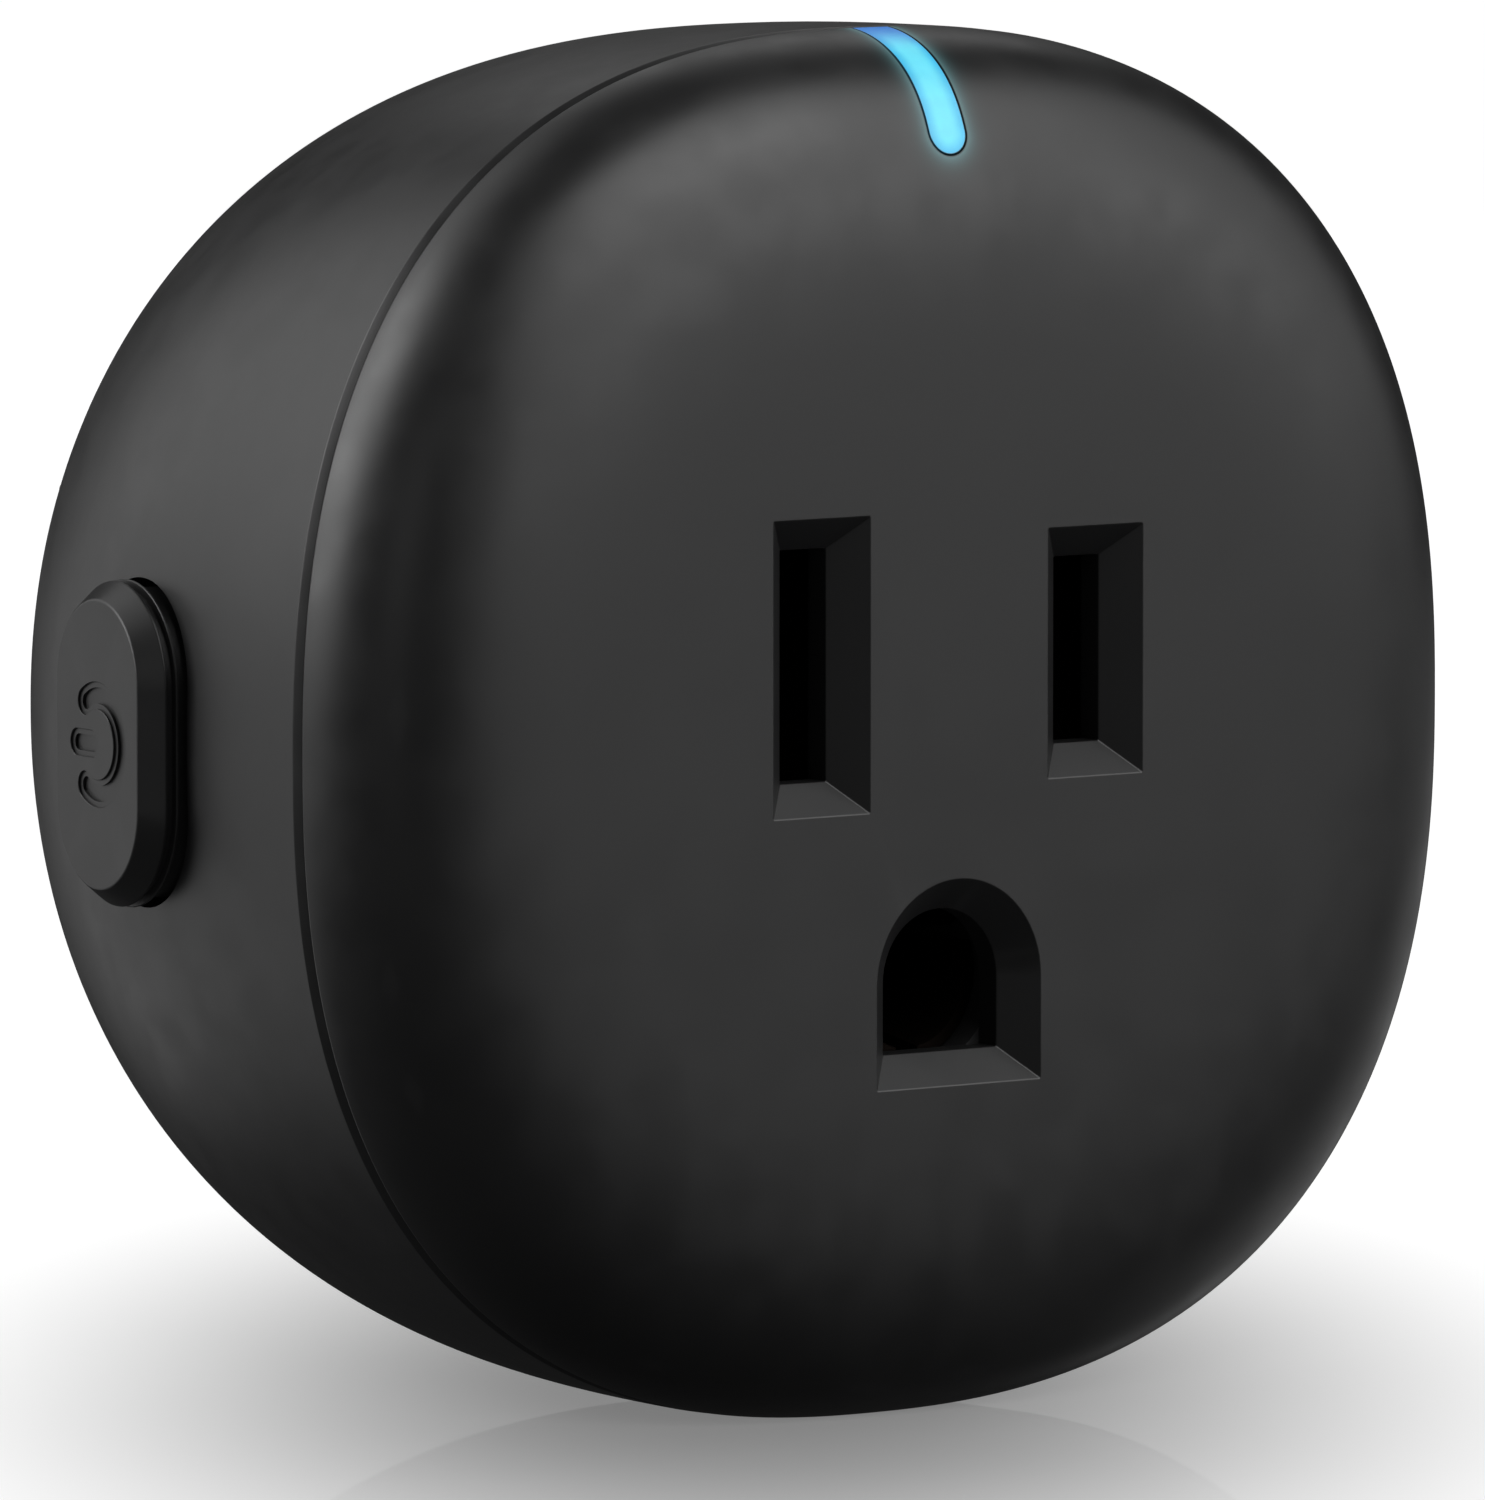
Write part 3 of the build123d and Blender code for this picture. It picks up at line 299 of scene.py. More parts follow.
BLADE_X = 6.35
GROUND_Z = -11.9
SLOT_WIDTH = 2.1
NEUTRAL_SLOT_HEIGHT = 8.55
LINE_SLOT_HEIGHT = 6.9
GROUND_HOLE_RADIUS = 2.63
GROUND_HOLE_FLOOR = 2.62
LEAD_IN = 1.18
CORNER = 0.06
FLAT_SHARE = 0.56  # the face is flat inside this share of the outline
LENS_WIDTH = 1.7
LENS_SHRINK = 0.03
LENS_TIP_Z = 18.5
FOOT_THICKNESS = 1.6  # of the bar's foot, behind the face's wall
FOOT_OVERLAP = 0.9
STEM_HEIGHT = 1.4
SLIP = 0.05


def corner_arc(cx, cz, radius, start, steps=4):
    """Points round one quarter of a corner, from a start angle in degrees."""
    angles = [radians(start + 90 * k / steps) for k in range(steps + 1)]
    return [(cx + radius * cos(a), cz + radius * sin(a)) for a in angles]


def rectangle_loop(cx, cz, half_x, half_z, radius=CORNER):
    loop = []
    for sx, sz, start in ((1, 1, 0), (-1, 1, 90), (-1, -1, 180), (1, -1, 270)):
        loop += corner_arc(cx + sx * (half_x - radius), cz + sz * (half_z - radius), radius, start)
    return loop


def ground_loop(grow):
    """The ground opening: an arch with a flat bottom."""
    half = GROUND_HOLE_RADIUS + grow
    floor = GROUND_Z - GROUND_HOLE_FLOOR - grow
    loop = [(half * cos(pi * k / 48), GROUND_Z + half * sin(pi * k / 48)) for k in range(49)]
    loop += corner_arc(-half + CORNER, floor + CORNER, CORNER, 180)
    loop += corner_arc(half - CORNER, floor + CORNER, CORNER, 270)
    return loop


def opening_loops(grow):
    neutral = rectangle_loop(-BLADE_X, 0, SLOT_WIDTH / 2 + grow, NEUTRAL_SLOT_HEIGHT / 2 + grow)
    line = rectangle_loop(BLADE_X, 0, SLOT_WIDTH / 2 + grow, LINE_SLOT_HEIGHT / 2 + grow)
    return [neutral, line, ground_loop(grow)]


def soft_corner(before, corner, after, steps=4):
    """A rounded corner between two points of a profile."""
    points = []
    for k in range(steps + 1):
        t = k / steps
        a, b, c = (1 - t) ** 2, 2 * t * (1 - t), t * t
        points.append(tuple(a * p + b * q + c * r for p, q, r in zip(before, corner, after)))
    return points


def lead_in_profile():
    """(growth, depth) points from the face down the bevel to the back of the face's wall."""
    reach = SOFT_EDGE
    slant = reach / 2**0.5
    profile = soft_corner((LEAD_IN + reach, 0), (LEAD_IN, 0), (LEAD_IN - slant, slant))
    profile += soft_corner((slant, LEAD_IN - slant), (0, LEAD_IN), (0, LEAD_IN + reach))
    return profile + [(0, FACE_WALL)]


def cover_mesh(with_openings):
    """The cover's closed wall, from the middle of the face round the rim to its inner side."""
    bm = bmesh.new()
    first = np.arcsin(FLAT_SHARE ** (FRONT_ROUNDNESS[0] / 2))
    last = np.arccos((1 - (SEAM_DEPTH - 0.12) / WIDEST_DEPTH) ** (FRONT_ROUNDNESS[1] / 2))
    rings = []
    for angle in np.linspace(first, last, 44):
        share = float(sin(angle) ** (2 / FRONT_ROUNDNESS[0]))
        rings.append(add_ring(bm, scaled_ring(share, front_depth(share))))
    for inset, depth in ((0.035, SEAM_DEPTH - 0.06), (0.07, SEAM_DEPTH - 0.02), (0.12, SEAM_DEPTH)):
        rings.append(add_ring(bm, inset_ring(inset, depth)))
    rings.append(add_ring(bm, inset_ring(COVER_SKIRT, SEAM_DEPTH)))
    rings.append(add_ring(bm, inset_ring(COVER_SKIRT, TONGUE_TIP_DEPTH)))
    rings.append(add_ring(bm, inset_ring(COVER_CAVITY_INSET, TONGUE_TIP_DEPTH)))
    rings.append(add_ring(bm, inset_ring(COVER_CAVITY_INSET, FACE_WALL)))
    bridge_all(bm, rings)
    front_holes, back_holes = [], []
    if with_openings:
        columns = [[], [], []]
        for grow, depth in lead_in_profile():
            for column, loop in zip(columns, opening_loops(grow)):
                column.append(add_ring(bm, [(x, FACE_Y + depth, z) for x, z in loop]))
        for column in columns:
            bridge_all(bm, column)
            front_holes.append(column[0])
            back_holes.append(column[-1])
    fill_flat(bm, rings[0], front_holes)
    fill_flat(bm, rings[-1], back_holes)
    return bm


def prism(name, loop, to_point, low, high):
    """A straight solid through a flat loop, between two heights. It is only used to cut with."""
    bm = bmesh.new()
    bottom = add_ring(bm, [to_point(a, b, low) for a, b in loop])
    top = add_ring(bm, [to_point(a, b, high) for a, b in loop])
    bridge(bm, bottom, top)
    bm.faces.new(bottom)
    bm.faces.new(top)
    return make_piece(name, bm, body=None)


def light_cut(clearance):
    """The light bar's straight cut, from its round tip up past the top edge."""
    half = LENS_WIDTH / 2 + clearance
    centre = LENS_TIP_Z + LENS_WIDTH / 2
    top = CENTER_Z + HALF_HEIGHT + 1
    loop = [(half * cos(a), centre + half * sin(a)) for a in np.linspace(pi, 2 * pi, 33)]
    loop += [(half, top), (-half, top)]
    return prism("light_cut", loop, lambda x, z, h: (x, FACE_Y + h, z), -1, SEAM_DEPTH + 0.3)


def block_mesh(low, high):
    bm = bmesh.new()
    bmesh.ops.create_cube(bm, size=1)
    for vert in bm.verts:
        vert.co = Vector([a + (b - a) * (t + 0.5) for a, b, t in zip(low, high, vert.co)])
    return bm


def make_cover():
    cover = make_piece("cover_shell", cover_mesh(True), replaces="front_cover")
    cut(cover, light_cut(SLIP))
    set_normals(cover, skin=front_normal)
    return cover


def make_light_bar():
    bar = make_piece("light_bar", cover_mesh(False), replaces="light_pipe")
    cut(bar, light_cut(-LENS_SHRINK), operation="INTERSECT")
    stem_low, stem_high = (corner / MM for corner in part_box("light_pipe"))
    foot_y = FACE_Y + FACE_WALL
    half = LENS_WIDTH / 2
    corner = (-half, foot_y, stem_low.z)
    foot_top = (half, foot_y + FOOT_THICKNESS, LENS_TIP_Z + FOOT_OVERLAP)
    stem_top = (half, stem_high.y, stem_low.z + STEM_HEIGHT)
    for name, top in (("foot", foot_top), ("stem", stem_top)):
        cut(bar, make_piece(name, block_mesh(corner, top), body=None), operation="UNION")
    set_normals(bar, skin=front_normal)
    return bar


# ---------------------------------------------------------------- rear housing

BACK_FILLET_REACH = 0.34
INNER_DEPTHS = (28.5, 27, 25, 22.5, 20, 17, 14, 11, 8)
BLADE_THICKNESS = 1.52
LINE_BLADE_WIDTH = 6.35
NEUTRAL_BLADE_WIDTH = 7.92
GROUND_PIN_COLLAR = 2.7
BOARD_BACK_Y = -6.4
SCREW_SPOTS = ((-11.8, -13.8), (11.8, -13.8), (11.0, 9.6), (-11.0, 9.6))
SCREW_BORE = 1.15
SCREW_BORE_SINK = 0.8  # how far a screw's bore goes into the back wall
BOSS_RADIUS = 2.2

# The button's own frame: u up, v to the rear, height out of the wall.
BUTTON_DEPTH = 16.7
BUTTON_Z = CENTER_Z - 0.2
BUTTON_TILT = radians(7.3)
PAD_LENGTH = 11.95
PAD_WIDTH = 7.6
PAD_RING = (0.16, 0.22)  # the thin ring round the pad's neck
PAD_RING_REACH = 0.04
RING_SOFTENING = 0.03
PAD_NECK = 0.28  # the depth of the dark grooves above and below the ring
PAD_PROUD = 1.5
PAD_BEVEL_INSET = 0.66
PAD_BEVEL_HEIGHT = 0.82
BUTTON_GAP = 0.05
BUTTON_FLANGE = (-3.9, -3.1)  # the heights of the flange behind the pad
FLANGE_REACH = 0.8
STEM_RADIUS = 1.5
STEM_LENGTH = 2.4
button_origin = Vector((-HALF_WIDTH * rear_share(BUTTON_DEPTH), FACE_Y + BUTTON_DEPTH, BUTTON_Z))
button_u = Vector((0, 0, 1))
button_out = Vector((-cos(BUTTON_TILT), sin(BUTTON_TILT), 0))
button_v = button_out.cross(button_u)


def on_button(u, v, height):
    return button_origin + u * button_u + v * button_v + height * button_out


def stadium_loop(length, width, steps=28):
    radius = width / 2
    reach = length / 2 - radius
    loop = [(reach + radius * cos(a), radius * sin(a)) for a in np.linspace(-pi / 2, pi / 2, steps + 1)]
    loop += [(-reach + radius * cos(a), radius * sin(a)) for a in np.linspace(pi / 2, 3 * pi / 2, steps + 1)]
    return loop


def circle_loop(x, z, radius, steps=72):
    angles = [2 * pi * k / steps for k in range(steps)]
    return [(x + radius * cos(a), z + radius * sin(a)) for a in angles]


def wall_hole_loops(grow):
    """The holes in the wall face, for the two blades and the ground pin."""
    side = BLADE_THICKNESS / 2 + SLIP + grow
    neutral = rectangle_loop(-BLADE_X, 0, side, NEUTRAL_BLADE_WIDTH / 2 + SLIP + grow, radius=0.2)
    line = rectangle_loop(BLADE_X, 0, side, LINE_BLADE_WIDTH / 2 + SLIP + grow, radius=0.2)
    return [neutral, line, circle_loop(0, GROUND_Z, GROUND_PIN_COLLAR + SLIP + grow)]


def housing_mesh():
    """The rear shell: tongue, reveal step, barrel, wall face with its holes, and the room inside."""
    bm = bmesh.new()
    step_depth = SEAM_DEPTH + REVEAL_SLIT
    lip_depth = SEAM_DEPTH + REVEAL_WIDTH
    rings = [
        add_ring(bm, inset_ring(TONGUE_INSET, TONGUE_TIP_DEPTH)),
        add_ring(bm, inset_ring(TONGUE_INSET, step_depth)),
        add_ring(bm, inset_ring(REVEAL_INSET, step_depth)),
        add_ring(bm, inset_ring(RIM_DROP + 0.02, step_depth + 0.01)),
        add_ring(bm, inset_ring(RIM_DROP - 0.01, step_depth + 0.05)),
        add_ring(bm, inset_ring(0.03, lip_depth - 0.04)),
        add_ring(bm, inset_ring(0.012, lip_depth + 0.02)),
        add_ring(bm, inset_ring(0.004, lip_depth + 0.07)),
    ]
    end = BODY_DEPTH - BACK_FILLET_REACH * 0.65
    for depth in np.linspace(lip_depth + 0.16, end, 58):
        rings.append(add_ring(bm, scaled_ring(rear_share(depth), depth)))
    last, corner = rear_share(end), rear_share(BODY_DEPTH)
    flat = corner - BACK_FILLET_REACH / HALF_WIDTH
    for share, depth in soft_corner((last, end), (corner, BODY_DEPTH), (flat, BODY_DEPTH), 6)[1:]:
        rings.append(add_ring(bm, scaled_ring(share, depth)))
    bridge_all(bm, rings)
    inner_back = BODY_DEPTH - BACK_WALL
    inner = []
    for depth in (inner_back, *INNER_DEPTHS, WIDEST_DEPTH, TONGUE_TIP_DEPTH):
        share = rear_share(depth, REAR_APEX_DEPTH - SIDE_WALL)
        half_x, half_z = (HALF_WIDTH - SIDE_WALL) * share, (HALF_HEIGHT - SIDE_WALL) * share
        inner.append(add_ring(bm, outline(half_x, half_z, exponent_at(depth), depth)))
    bridge_all(bm, inner)
    bridge(bm, inner[-1], rings[0])
    back_holes, inner_holes = [], []
    profile = [(0.08, BODY_DEPTH), (0.025, BODY_DEPTH - 0.025), (0, BODY_DEPTH - 0.08), (0, inner_back)]
    columns = [[], [], []]
    for grow, depth in profile:
        for column, loop in zip(columns, wall_hole_loops(grow)):
            column.append(add_ring(bm, [(x, FACE_Y + depth, z) for x, z in loop]))
    for column in columns:
        bridge_all(bm, column)
        back_holes.append(column[0])
        inner_holes.append(column[-1])
    for x, z in SCREW_SPOTS:
        column = []
        for radius, y in (
            (BOSS_RADIUS, -BACK_WALL),
            (BOSS_RADIUS, BOARD_BACK_Y),
            (SCREW_BORE, BOARD_BACK_Y),
            (SCREW_BORE, -BACK_WALL + SCREW_BORE_SINK),
        ):
            column.append(add_ring(bm, [(px, y, pz) for px, pz in circle_loop(x, z, radius, 40)]))
        bridge_all(bm, column)
        bm.faces.new(column[-1])
        inner_holes.append(column[0])
    fill_flat(bm, rings[-1], back_holes)
    fill_flat(bm, inner[0], inner_holes)
    return bm


def make_housing():
    housing = make_piece("housing_shell", housing_mesh(), replaces="rear_housing")
    grown = 2 * (PAD_RING_REACH + BUTTON_GAP)
    loop = stadium_loop(PAD_LENGTH + grown, PAD_WIDTH + grown)
    cut(housing, prism("button_cut", loop, on_button, BUTTON_FLANGE[0], PAD_PROUD))
    set_normals(housing, skin=rear_normal)
    return housing


# ---------------------------------------------------------------- button

ICON_RADIUS = 1.8
ICON_STROKE = 0.8
ICON_STEP = 0.1  # how far the ledge half way down the groove reaches, to each side
ICON_DEPTH = 0.2
ICON_OPENING = 116
ICON_BAR = (0.0, 1.95)


def round_end(x, z, radius, start, steps=14):
    """Half a circle about (x, z), from the angle start."""
    return [(x + radius * cos(a), z + radius * sin(a)) for a in np.linspace(start, start + pi, steps + 1)]


def icon_loops(grow):
    """The power symbol's ring, open to the rear, and its bar. Both have round ends."""
    half = ICON_STROKE / 2 + grow
    start, end = radians(90 + ICON_OPENING / 2), radians(450 - ICON_OPENING / 2)
    wide, tight = ICON_RADIUS + half, ICON_RADIUS - half
    outer = [(wide * cos(a), wide * sin(a)) for a in np.linspace(start, end, 61)]
    inner = [(tight * cos(a), tight * sin(a)) for a in np.linspace(end, start, 61)]
    last = round_end(ICON_RADIUS * cos(end), ICON_RADIUS * sin(end), half, end)[1:-1]
    first = round_end(ICON_RADIUS * cos(start), ICON_RADIUS * sin(start), half, start + pi)[1:-1]
    low, high = ICON_BAR
    inset = ICON_STROKE / 2
    bar = round_end(0, high - inset, half, 0) + round_end(0, low + inset, half, pi)
    return [outer + last + inner + first, bar]


def make_button():
    bm = bmesh.new()
    edge = SOFT_EDGE
    bevel_start = PAD_PROUD - PAD_BEVEL_HEIGHT
    profile = [
        (FLANGE_REACH, BUTTON_FLANGE[0]),
        (FLANGE_REACH, BUTTON_FLANGE[1]),
        (-PAD_NECK, BUTTON_FLANGE[1]),
        (-PAD_NECK, PAD_RING[0] - RING_SOFTENING),
        (PAD_RING_REACH - RING_SOFTENING, PAD_RING[0] - RING_SOFTENING),
        (PAD_RING_REACH, PAD_RING[0]),
        (PAD_RING_REACH, PAD_RING[1]),
        (PAD_RING_REACH - RING_SOFTENING, PAD_RING[1] + RING_SOFTENING),
        (-PAD_NECK, PAD_RING[1] + RING_SOFTENING),
        (-PAD_NECK, bevel_start - 0.08),
        (-0.02, bevel_start - 0.08),
    ]
    before, after = (0, bevel_start - edge), (-edge * 0.67, bevel_start + edge * 0.74)
    profile += soft_corner(before, (0, bevel_start), after)
    inset = PAD_BEVEL_INSET
    before, after = (-inset + edge, PAD_PROUD - edge * 1.1), (-inset - edge * 1.4, PAD_PROUD)
    profile += soft_corner(before, (-inset, PAD_PROUD), after)
    rings = []
    for grow, height in profile:
        loop = stadium_loop(PAD_LENGTH + 2 * grow, PAD_WIDTH + 2 * grow)
        rings.append(add_ring(bm, [on_button(u, v, height) for u, v in loop]))
    bridge_all(bm, rings)
    columns = [[], []]
    step, half_deep = ICON_STEP, ICON_DEPTH * 0.45
    groove = ((step + 0.02, 0), (step, -0.02), (step, -half_deep), (-step, -half_deep), (-step, -ICON_DEPTH))
    for grow, height in groove:
        for column, loop in zip(columns, icon_loops(grow)):
            column.append(add_ring(bm, [on_button(u, v, PAD_PROUD + height) for u, v in loop]))
    for column in columns:
        bridge_all(bm, column)
        fill_flat(bm, column[-1])
    fill_flat(bm, rings[-1], [column[0] for column in columns])
    bm.faces.new(rings[0])
    button = make_piece("button_pad", bm, body="button", replaces="power_button")
    loop = circle_loop(FACE_Y + BUTTON_DEPTH, BUTTON_Z, STEM_RADIUS, 48)
    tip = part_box("switch_plunger")[0].x / MM - SLIP
    stem = prism("button_stem", loop, lambda y, z, x: (x, y, z), tip - STEM_LENGTH, tip)
    cut(button, stem, operation="UNION")
    set_normals(button)
    return button


# ---------------------------------------------------------------- prongs

BLADE_TIP_BEVEL = 0.5
BLADE_HOLE_RADIUS = 1.95
BLADE_HOLE_Y = 11.7
GROUND_PIN_RADIUS = 2.385
GROUND_PIN_NOSE = 1.9
BLADE_EDGE = 0.16
SHOULDER_Y = -3.6
TAB_HALF_WIDTH = 1.5  # of the solder tab behind the shoulder


def make_blade(name, x, width):
    """A flat prong with rounded long edges, a bevelled tip and a hole with softened rims."""
    low, high = (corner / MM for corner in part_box(name))
    side, half = BLADE_THICKNESS / 2, width / 2
    wide_x, wide_z = (high.x - low.x) / 2, (high.z - low.z) / 2
    bevel = BLADE_TIP_BEVEL
    sections = [  # y, half width across, half width up, corner radius
        (low.y, side, TAB_HALF_WIDTH, 0.1),
        (SHOULDER_Y, side, TAB_HALF_WIDTH, 0.1),
        (SHOULDER_Y, wide_x, wide_z, 0.1),
        (-BACK_WALL, wide_x, wide_z, 0.1),
        (-BACK_WALL, side, half, BLADE_EDGE),
        (high.y - bevel - 0.05, side, half, BLADE_EDGE),
        (high.y - bevel + 0.04, side - 0.03, half - 0.03, BLADE_EDGE),
        (high.y - 0.06, side - bevel + 0.07, half - bevel + 0.07, 0.12),
        (high.y, side - bevel, half - bevel, 0.1),
    ]
    bm = bmesh.new()
    rings = [
        add_ring(bm, [(px, y, pz) for px, pz in rectangle_loop(x, 0, half_x, half_z, radius)])
        for y, half_x, half_z, radius in sections
    ]
    bridge_all(bm, rings)
    bm.faces.new(rings[0])
    bm.faces.new(rings[-1])
    blade = make_piece(name + "_plated", bm, replaces=name)
    drill = bmesh.new()
    rings = []
    rim = BLADE_EDGE
    drill_profile = ((-1, 0.4), (-side, rim), (-side + rim, 0), (side - rim, 0), (side, rim), (1, 0.4))
    for offset, grow in drill_profile:
        loop = circle_loop(BLADE_HOLE_Y, 0, BLADE_HOLE_RADIUS + grow, 64)
        rings.append(add_ring(drill, [(x + offset, y, z) for y, z in loop]))
    bridge_all(drill, rings)
    drill.faces.new(rings[0])
    drill.faces.new(rings[-1])
    cut(blade, make_piece("drill", drill, body=None))
    set_normals(blade)
    return blade


def make_ground_pin():
    low, high = (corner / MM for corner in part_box("ground_pin"))
    shoulder = (high.x - low.x) / 2
    pin, nose = GROUND_PIN_RADIUS, GROUND_PIN_NOSE
    profile = [
        (TAB_HALF_WIDTH - 0.1, low.y),
        (TAB_HALF_WIDTH, low.y + 0.1),
        (TAB_HALF_WIDTH, SHOULDER_Y),
        (shoulder, SHOULDER_Y),
        (shoulder, -BACK_WALL),
        (GROUND_PIN_COLLAR, -BACK_WALL),
        (GROUND_PIN_COLLAR, -0.08),
        (GROUND_PIN_COLLAR - 0.08, 0),
        (pin, 0),
    ]
    profile += [
        (pin - nose + nose * cos(a), high.y - nose + nose * sin(a)) for a in np.linspace(0, pi / 2, 15)
    ]
    bm = bmesh.new()
    rings = [
        add_ring(bm, [(px, y, pz) for px, pz in circle_loop(0, GROUND_Z, radius, 96)])
        for radius, y in profile
    ]
    bridge_all(bm, rings)
    bm.faces.new(rings[0])
    bm.faces.new(rings[-1])
    piece = make_piece("ground_pin_plated", bm, replaces="ground_pin")
    set_normals(piece)
    return piece


# ---------------------------------------------------------------- materials


class Surface:
    """A node material whose features have sizes in millimetres, in the frame's own coordinates."""

    def __init__(self, name, metallic=0.0, ior=1.5, coat=0.0):
        self.material = bpy.data.materials.new(name)
        self.material.use_nodes = True
        self.tree = self.material.node_tree
        self.tree.nodes.clear()
        self.shader = self.add("ShaderNodeBsdfPrincipled")
        self.shader.inputs["Metallic"].default_value = metallic
        self.shader.inputs["IOR"].default_value = ior
        self.shader.inputs["Coat Weight"].default_value = coat
        output = self.add("ShaderNodeOutputMaterial")
        self.link(self.shader.outputs["BSDF"], output.inputs["Surface"])
        self.coords = self.add("ShaderNodeTexCoord").outputs["Object"]

    def add(self, kind):
        return self.tree.nodes.new(kind)

    def link(self, source, target):
        self.tree.links.new(source, target)

    def noise(self, size, detail=2.0, stretch=(1, 1, 1)):
        """Noise whose blotches are about this many millimetres across, longer along a stretched axis."""
        source = self.coords
        if stretch != (1, 1, 1):
            mapping = self.add("ShaderNodeMapping")
            mapping.inputs["Scale"].default_value = [1 / s for s in stretch]
            self.link(source, mapping.inputs["Vector"])
            source = mapping.outputs["Vector"]
        noise = self.add("ShaderNodeTexNoise")
        noise.inputs["Scale"].default_value = 1 / (size * MM)
        noise.inputs["Detail"].default_value = detail
        self.link(source, noise.inputs["Vector"])
        return noise.outputs["Fac"]

    def ramp(self, source, low, high, to_low=0.0, to_high=1.0):
        node = self.add("ShaderNodeMapRange")
        node.interpolation_type = "SMOOTHSTEP"
        node.inputs["From Min"].default_value = low
        node.inputs["From Max"].default_value = high
        node.inputs["To Min"].default_value = to_low
        node.inputs["To Max"].default_value = to_high
        self.link(source, node.inputs["Value"])
        return node.outputs["Result"]

    def math(self, operation, first, second=None):
        node = self.add("ShaderNodeMath")
        node.operation = operation
        for socket, value in zip(node.inputs, (first, second)):
            if value is None:
                continue
            if isinstance(value, (int, float)):
                socket.default_value = value
            else:
                self.link(value, socket)
        return node.outputs["Value"]

    def mix(self, share, first, second):
        node = self.add("ShaderNodeMix")
        node.data_type = "RGBA"
        self.link(share, node.inputs["Factor"])
        for key, value in (("A", first), ("B", second)):
            socket = [s for s in node.inputs if s.name == key and s.type == "RGBA"][0]
            if isinstance(value, tuple):
                socket.default_value = (*value, 1)
            else:
                self.link(value, socket)
        return [s for s in node.outputs if s.type == "RGBA"][0]

    def axes(self):
        node = self.add("ShaderNodeSeparateXYZ")
        self.link(self.coords, node.inputs["Vector"])
        return node.outputs["X"], node.outputs["Y"], node.outputs["Z"]

    def length(self, first, second):
        """The length of a flat vector with these two parts."""
        squares = self.math("POWER", first, 2.0), self.math("POWER", second, 2.0)
        return self.math("SQRT", self.math("ADD", *squares))

    def along_and_across(self, x, y, way):
        """The parts of a flat position along and across a direction."""
        pairs = ((x, way.x), (y, way.y), (x, way.y), (y, way.x))
        parts = [self.math("MULTIPLY", part, share) for part, share in pairs]
        return self.math("ADD", *parts[:2]), self.math("SUBTRACT", *parts[2:])

    def bump(self, height, distance):
        """Adds one more layer of relief, with its depth in millimetres."""
        node = self.add("ShaderNodeBump")
        node.inputs["Distance"].default_value = distance * MM
        self.link(height, node.inputs["Height"])
        socket = self.shader.inputs["Normal"]
        if socket.is_linked:
            self.link(socket.links[0].from_socket, node.inputs["Normal"])
        self.link(node.outputs["Normal"], socket)

    def edge_wear(self):
        geometry = self.add("ShaderNodeNewGeometry")
        return self.ramp(geometry.outputs["Pointiness"], 0.53, 0.62)

    def set(self, name, source):
        self.link(source, self.shader.inputs[name])


def scaled(color, factor):
    return tuple(min(1.0, c * factor) for c in color)


def moulded(
    name, color, roughness=0.4, spread=0.05, grain=0.16, relief=0.0016, mottle=7.0, vary=0.12, wear=1.7
):
    """Moulded plastic: faint flow mottling, fine spark-eroded grain and paler worn edges."""
    surface = Surface(name)
    mottled = surface.mix(surface.noise(mottle, 3), scaled(color, 1 - vary), scaled(color, 1 + vary))
    worn = surface.mix(surface.edge_wear(), mottled, scaled(color, wear))
    surface.set("Base Color", worn)
    blotch = surface.ramp(surface.noise(mottle / 3, 4), 0.3, 0.7, roughness - spread, roughness + spread)
    surface.set("Roughness", blotch)
    surface.bump(surface.noise(grain, 2), relief)
    surface.bump(surface.noise(grain * 14, 2), relief * 2)
    return surface


def brushed(name, color, roughness=0.28, spread=0.08, along=(1, 14, 1), relief=0.002, vary=0.15):
    """Drawn or stamped metal: fine lines along one axis, faint stains and brighter edges."""
    line_width, stain = 0.12, 3.0
    surface = Surface(name, metallic=1.0)
    stained = surface.mix(surface.noise(stain, 4), scaled(color, 1 - vary), scaled(color, 1 + vary / 2))
    surface.set("Base Color", surface.mix(surface.edge_wear(), stained, scaled(color, 1.25)))
    lines = surface.noise(line_width, 3, stretch=along)
    surface.set("Roughness", surface.ramp(lines, 0.25, 0.75, roughness - spread, roughness + spread))
    surface.bump(lines, relief)
    surface.bump(surface.noise(stain, 2), relief * 2)
    return surface


WIRE_PITCH = 0.34  # of the enamelled windings
PAINTED_GLOW_COLOR = (0.38, 0.94, 1.0)  # the colour of the glow painted into the cover's plastic round the light bar
PAINTED_GLOW_STRENGTH = 0.23
PAINTED_GLOW_REACH = 0.26 * MM  # the distance over which the painted glow falls by a factor e


def bar_distance(surface):
    """Distance in metres from the light bar's middle line, seen from the front."""
    x, _, z = surface.axes()
    centre = (LENS_TIP_Z + LENS_WIDTH / 2) * MM
    below = surface.math("MINIMUM", surface.math("SUBTRACT", z, centre), 0.0)
    return surface.length(x, below)


def cover_plastic():
    """The cover's plastic, with a glow painted into it round the light bar."""
    surface = moulded("cover_plastic", BLACK, **BLACK_FINISH)
    distance = bar_distance(surface)
    half = LENS_WIDTH / 2 * MM
    beyond = surface.math("SUBTRACT", distance, half)
    # Painted glow: the cover's plastic emits light that falls off with distance from the light bar.
    painted_glow = surface.math("POWER", exp(1), surface.math("MULTIPLY", beyond, -1 / PAINTED_GLOW_REACH))
    dark_rim = surface.ramp(distance, half + 0.04 * MM, half + 0.12 * MM)
    surface.shader.inputs["Emission Color"].default_value = (*PAINTED_GLOW_COLOR, 1)
    lit = surface.math("MULTIPLY", painted_glow, dark_rim)
    surface.set("Emission Strength", surface.math("MULTIPLY", lit, PAINTED_GLOW_STRENGTH))
    return surface


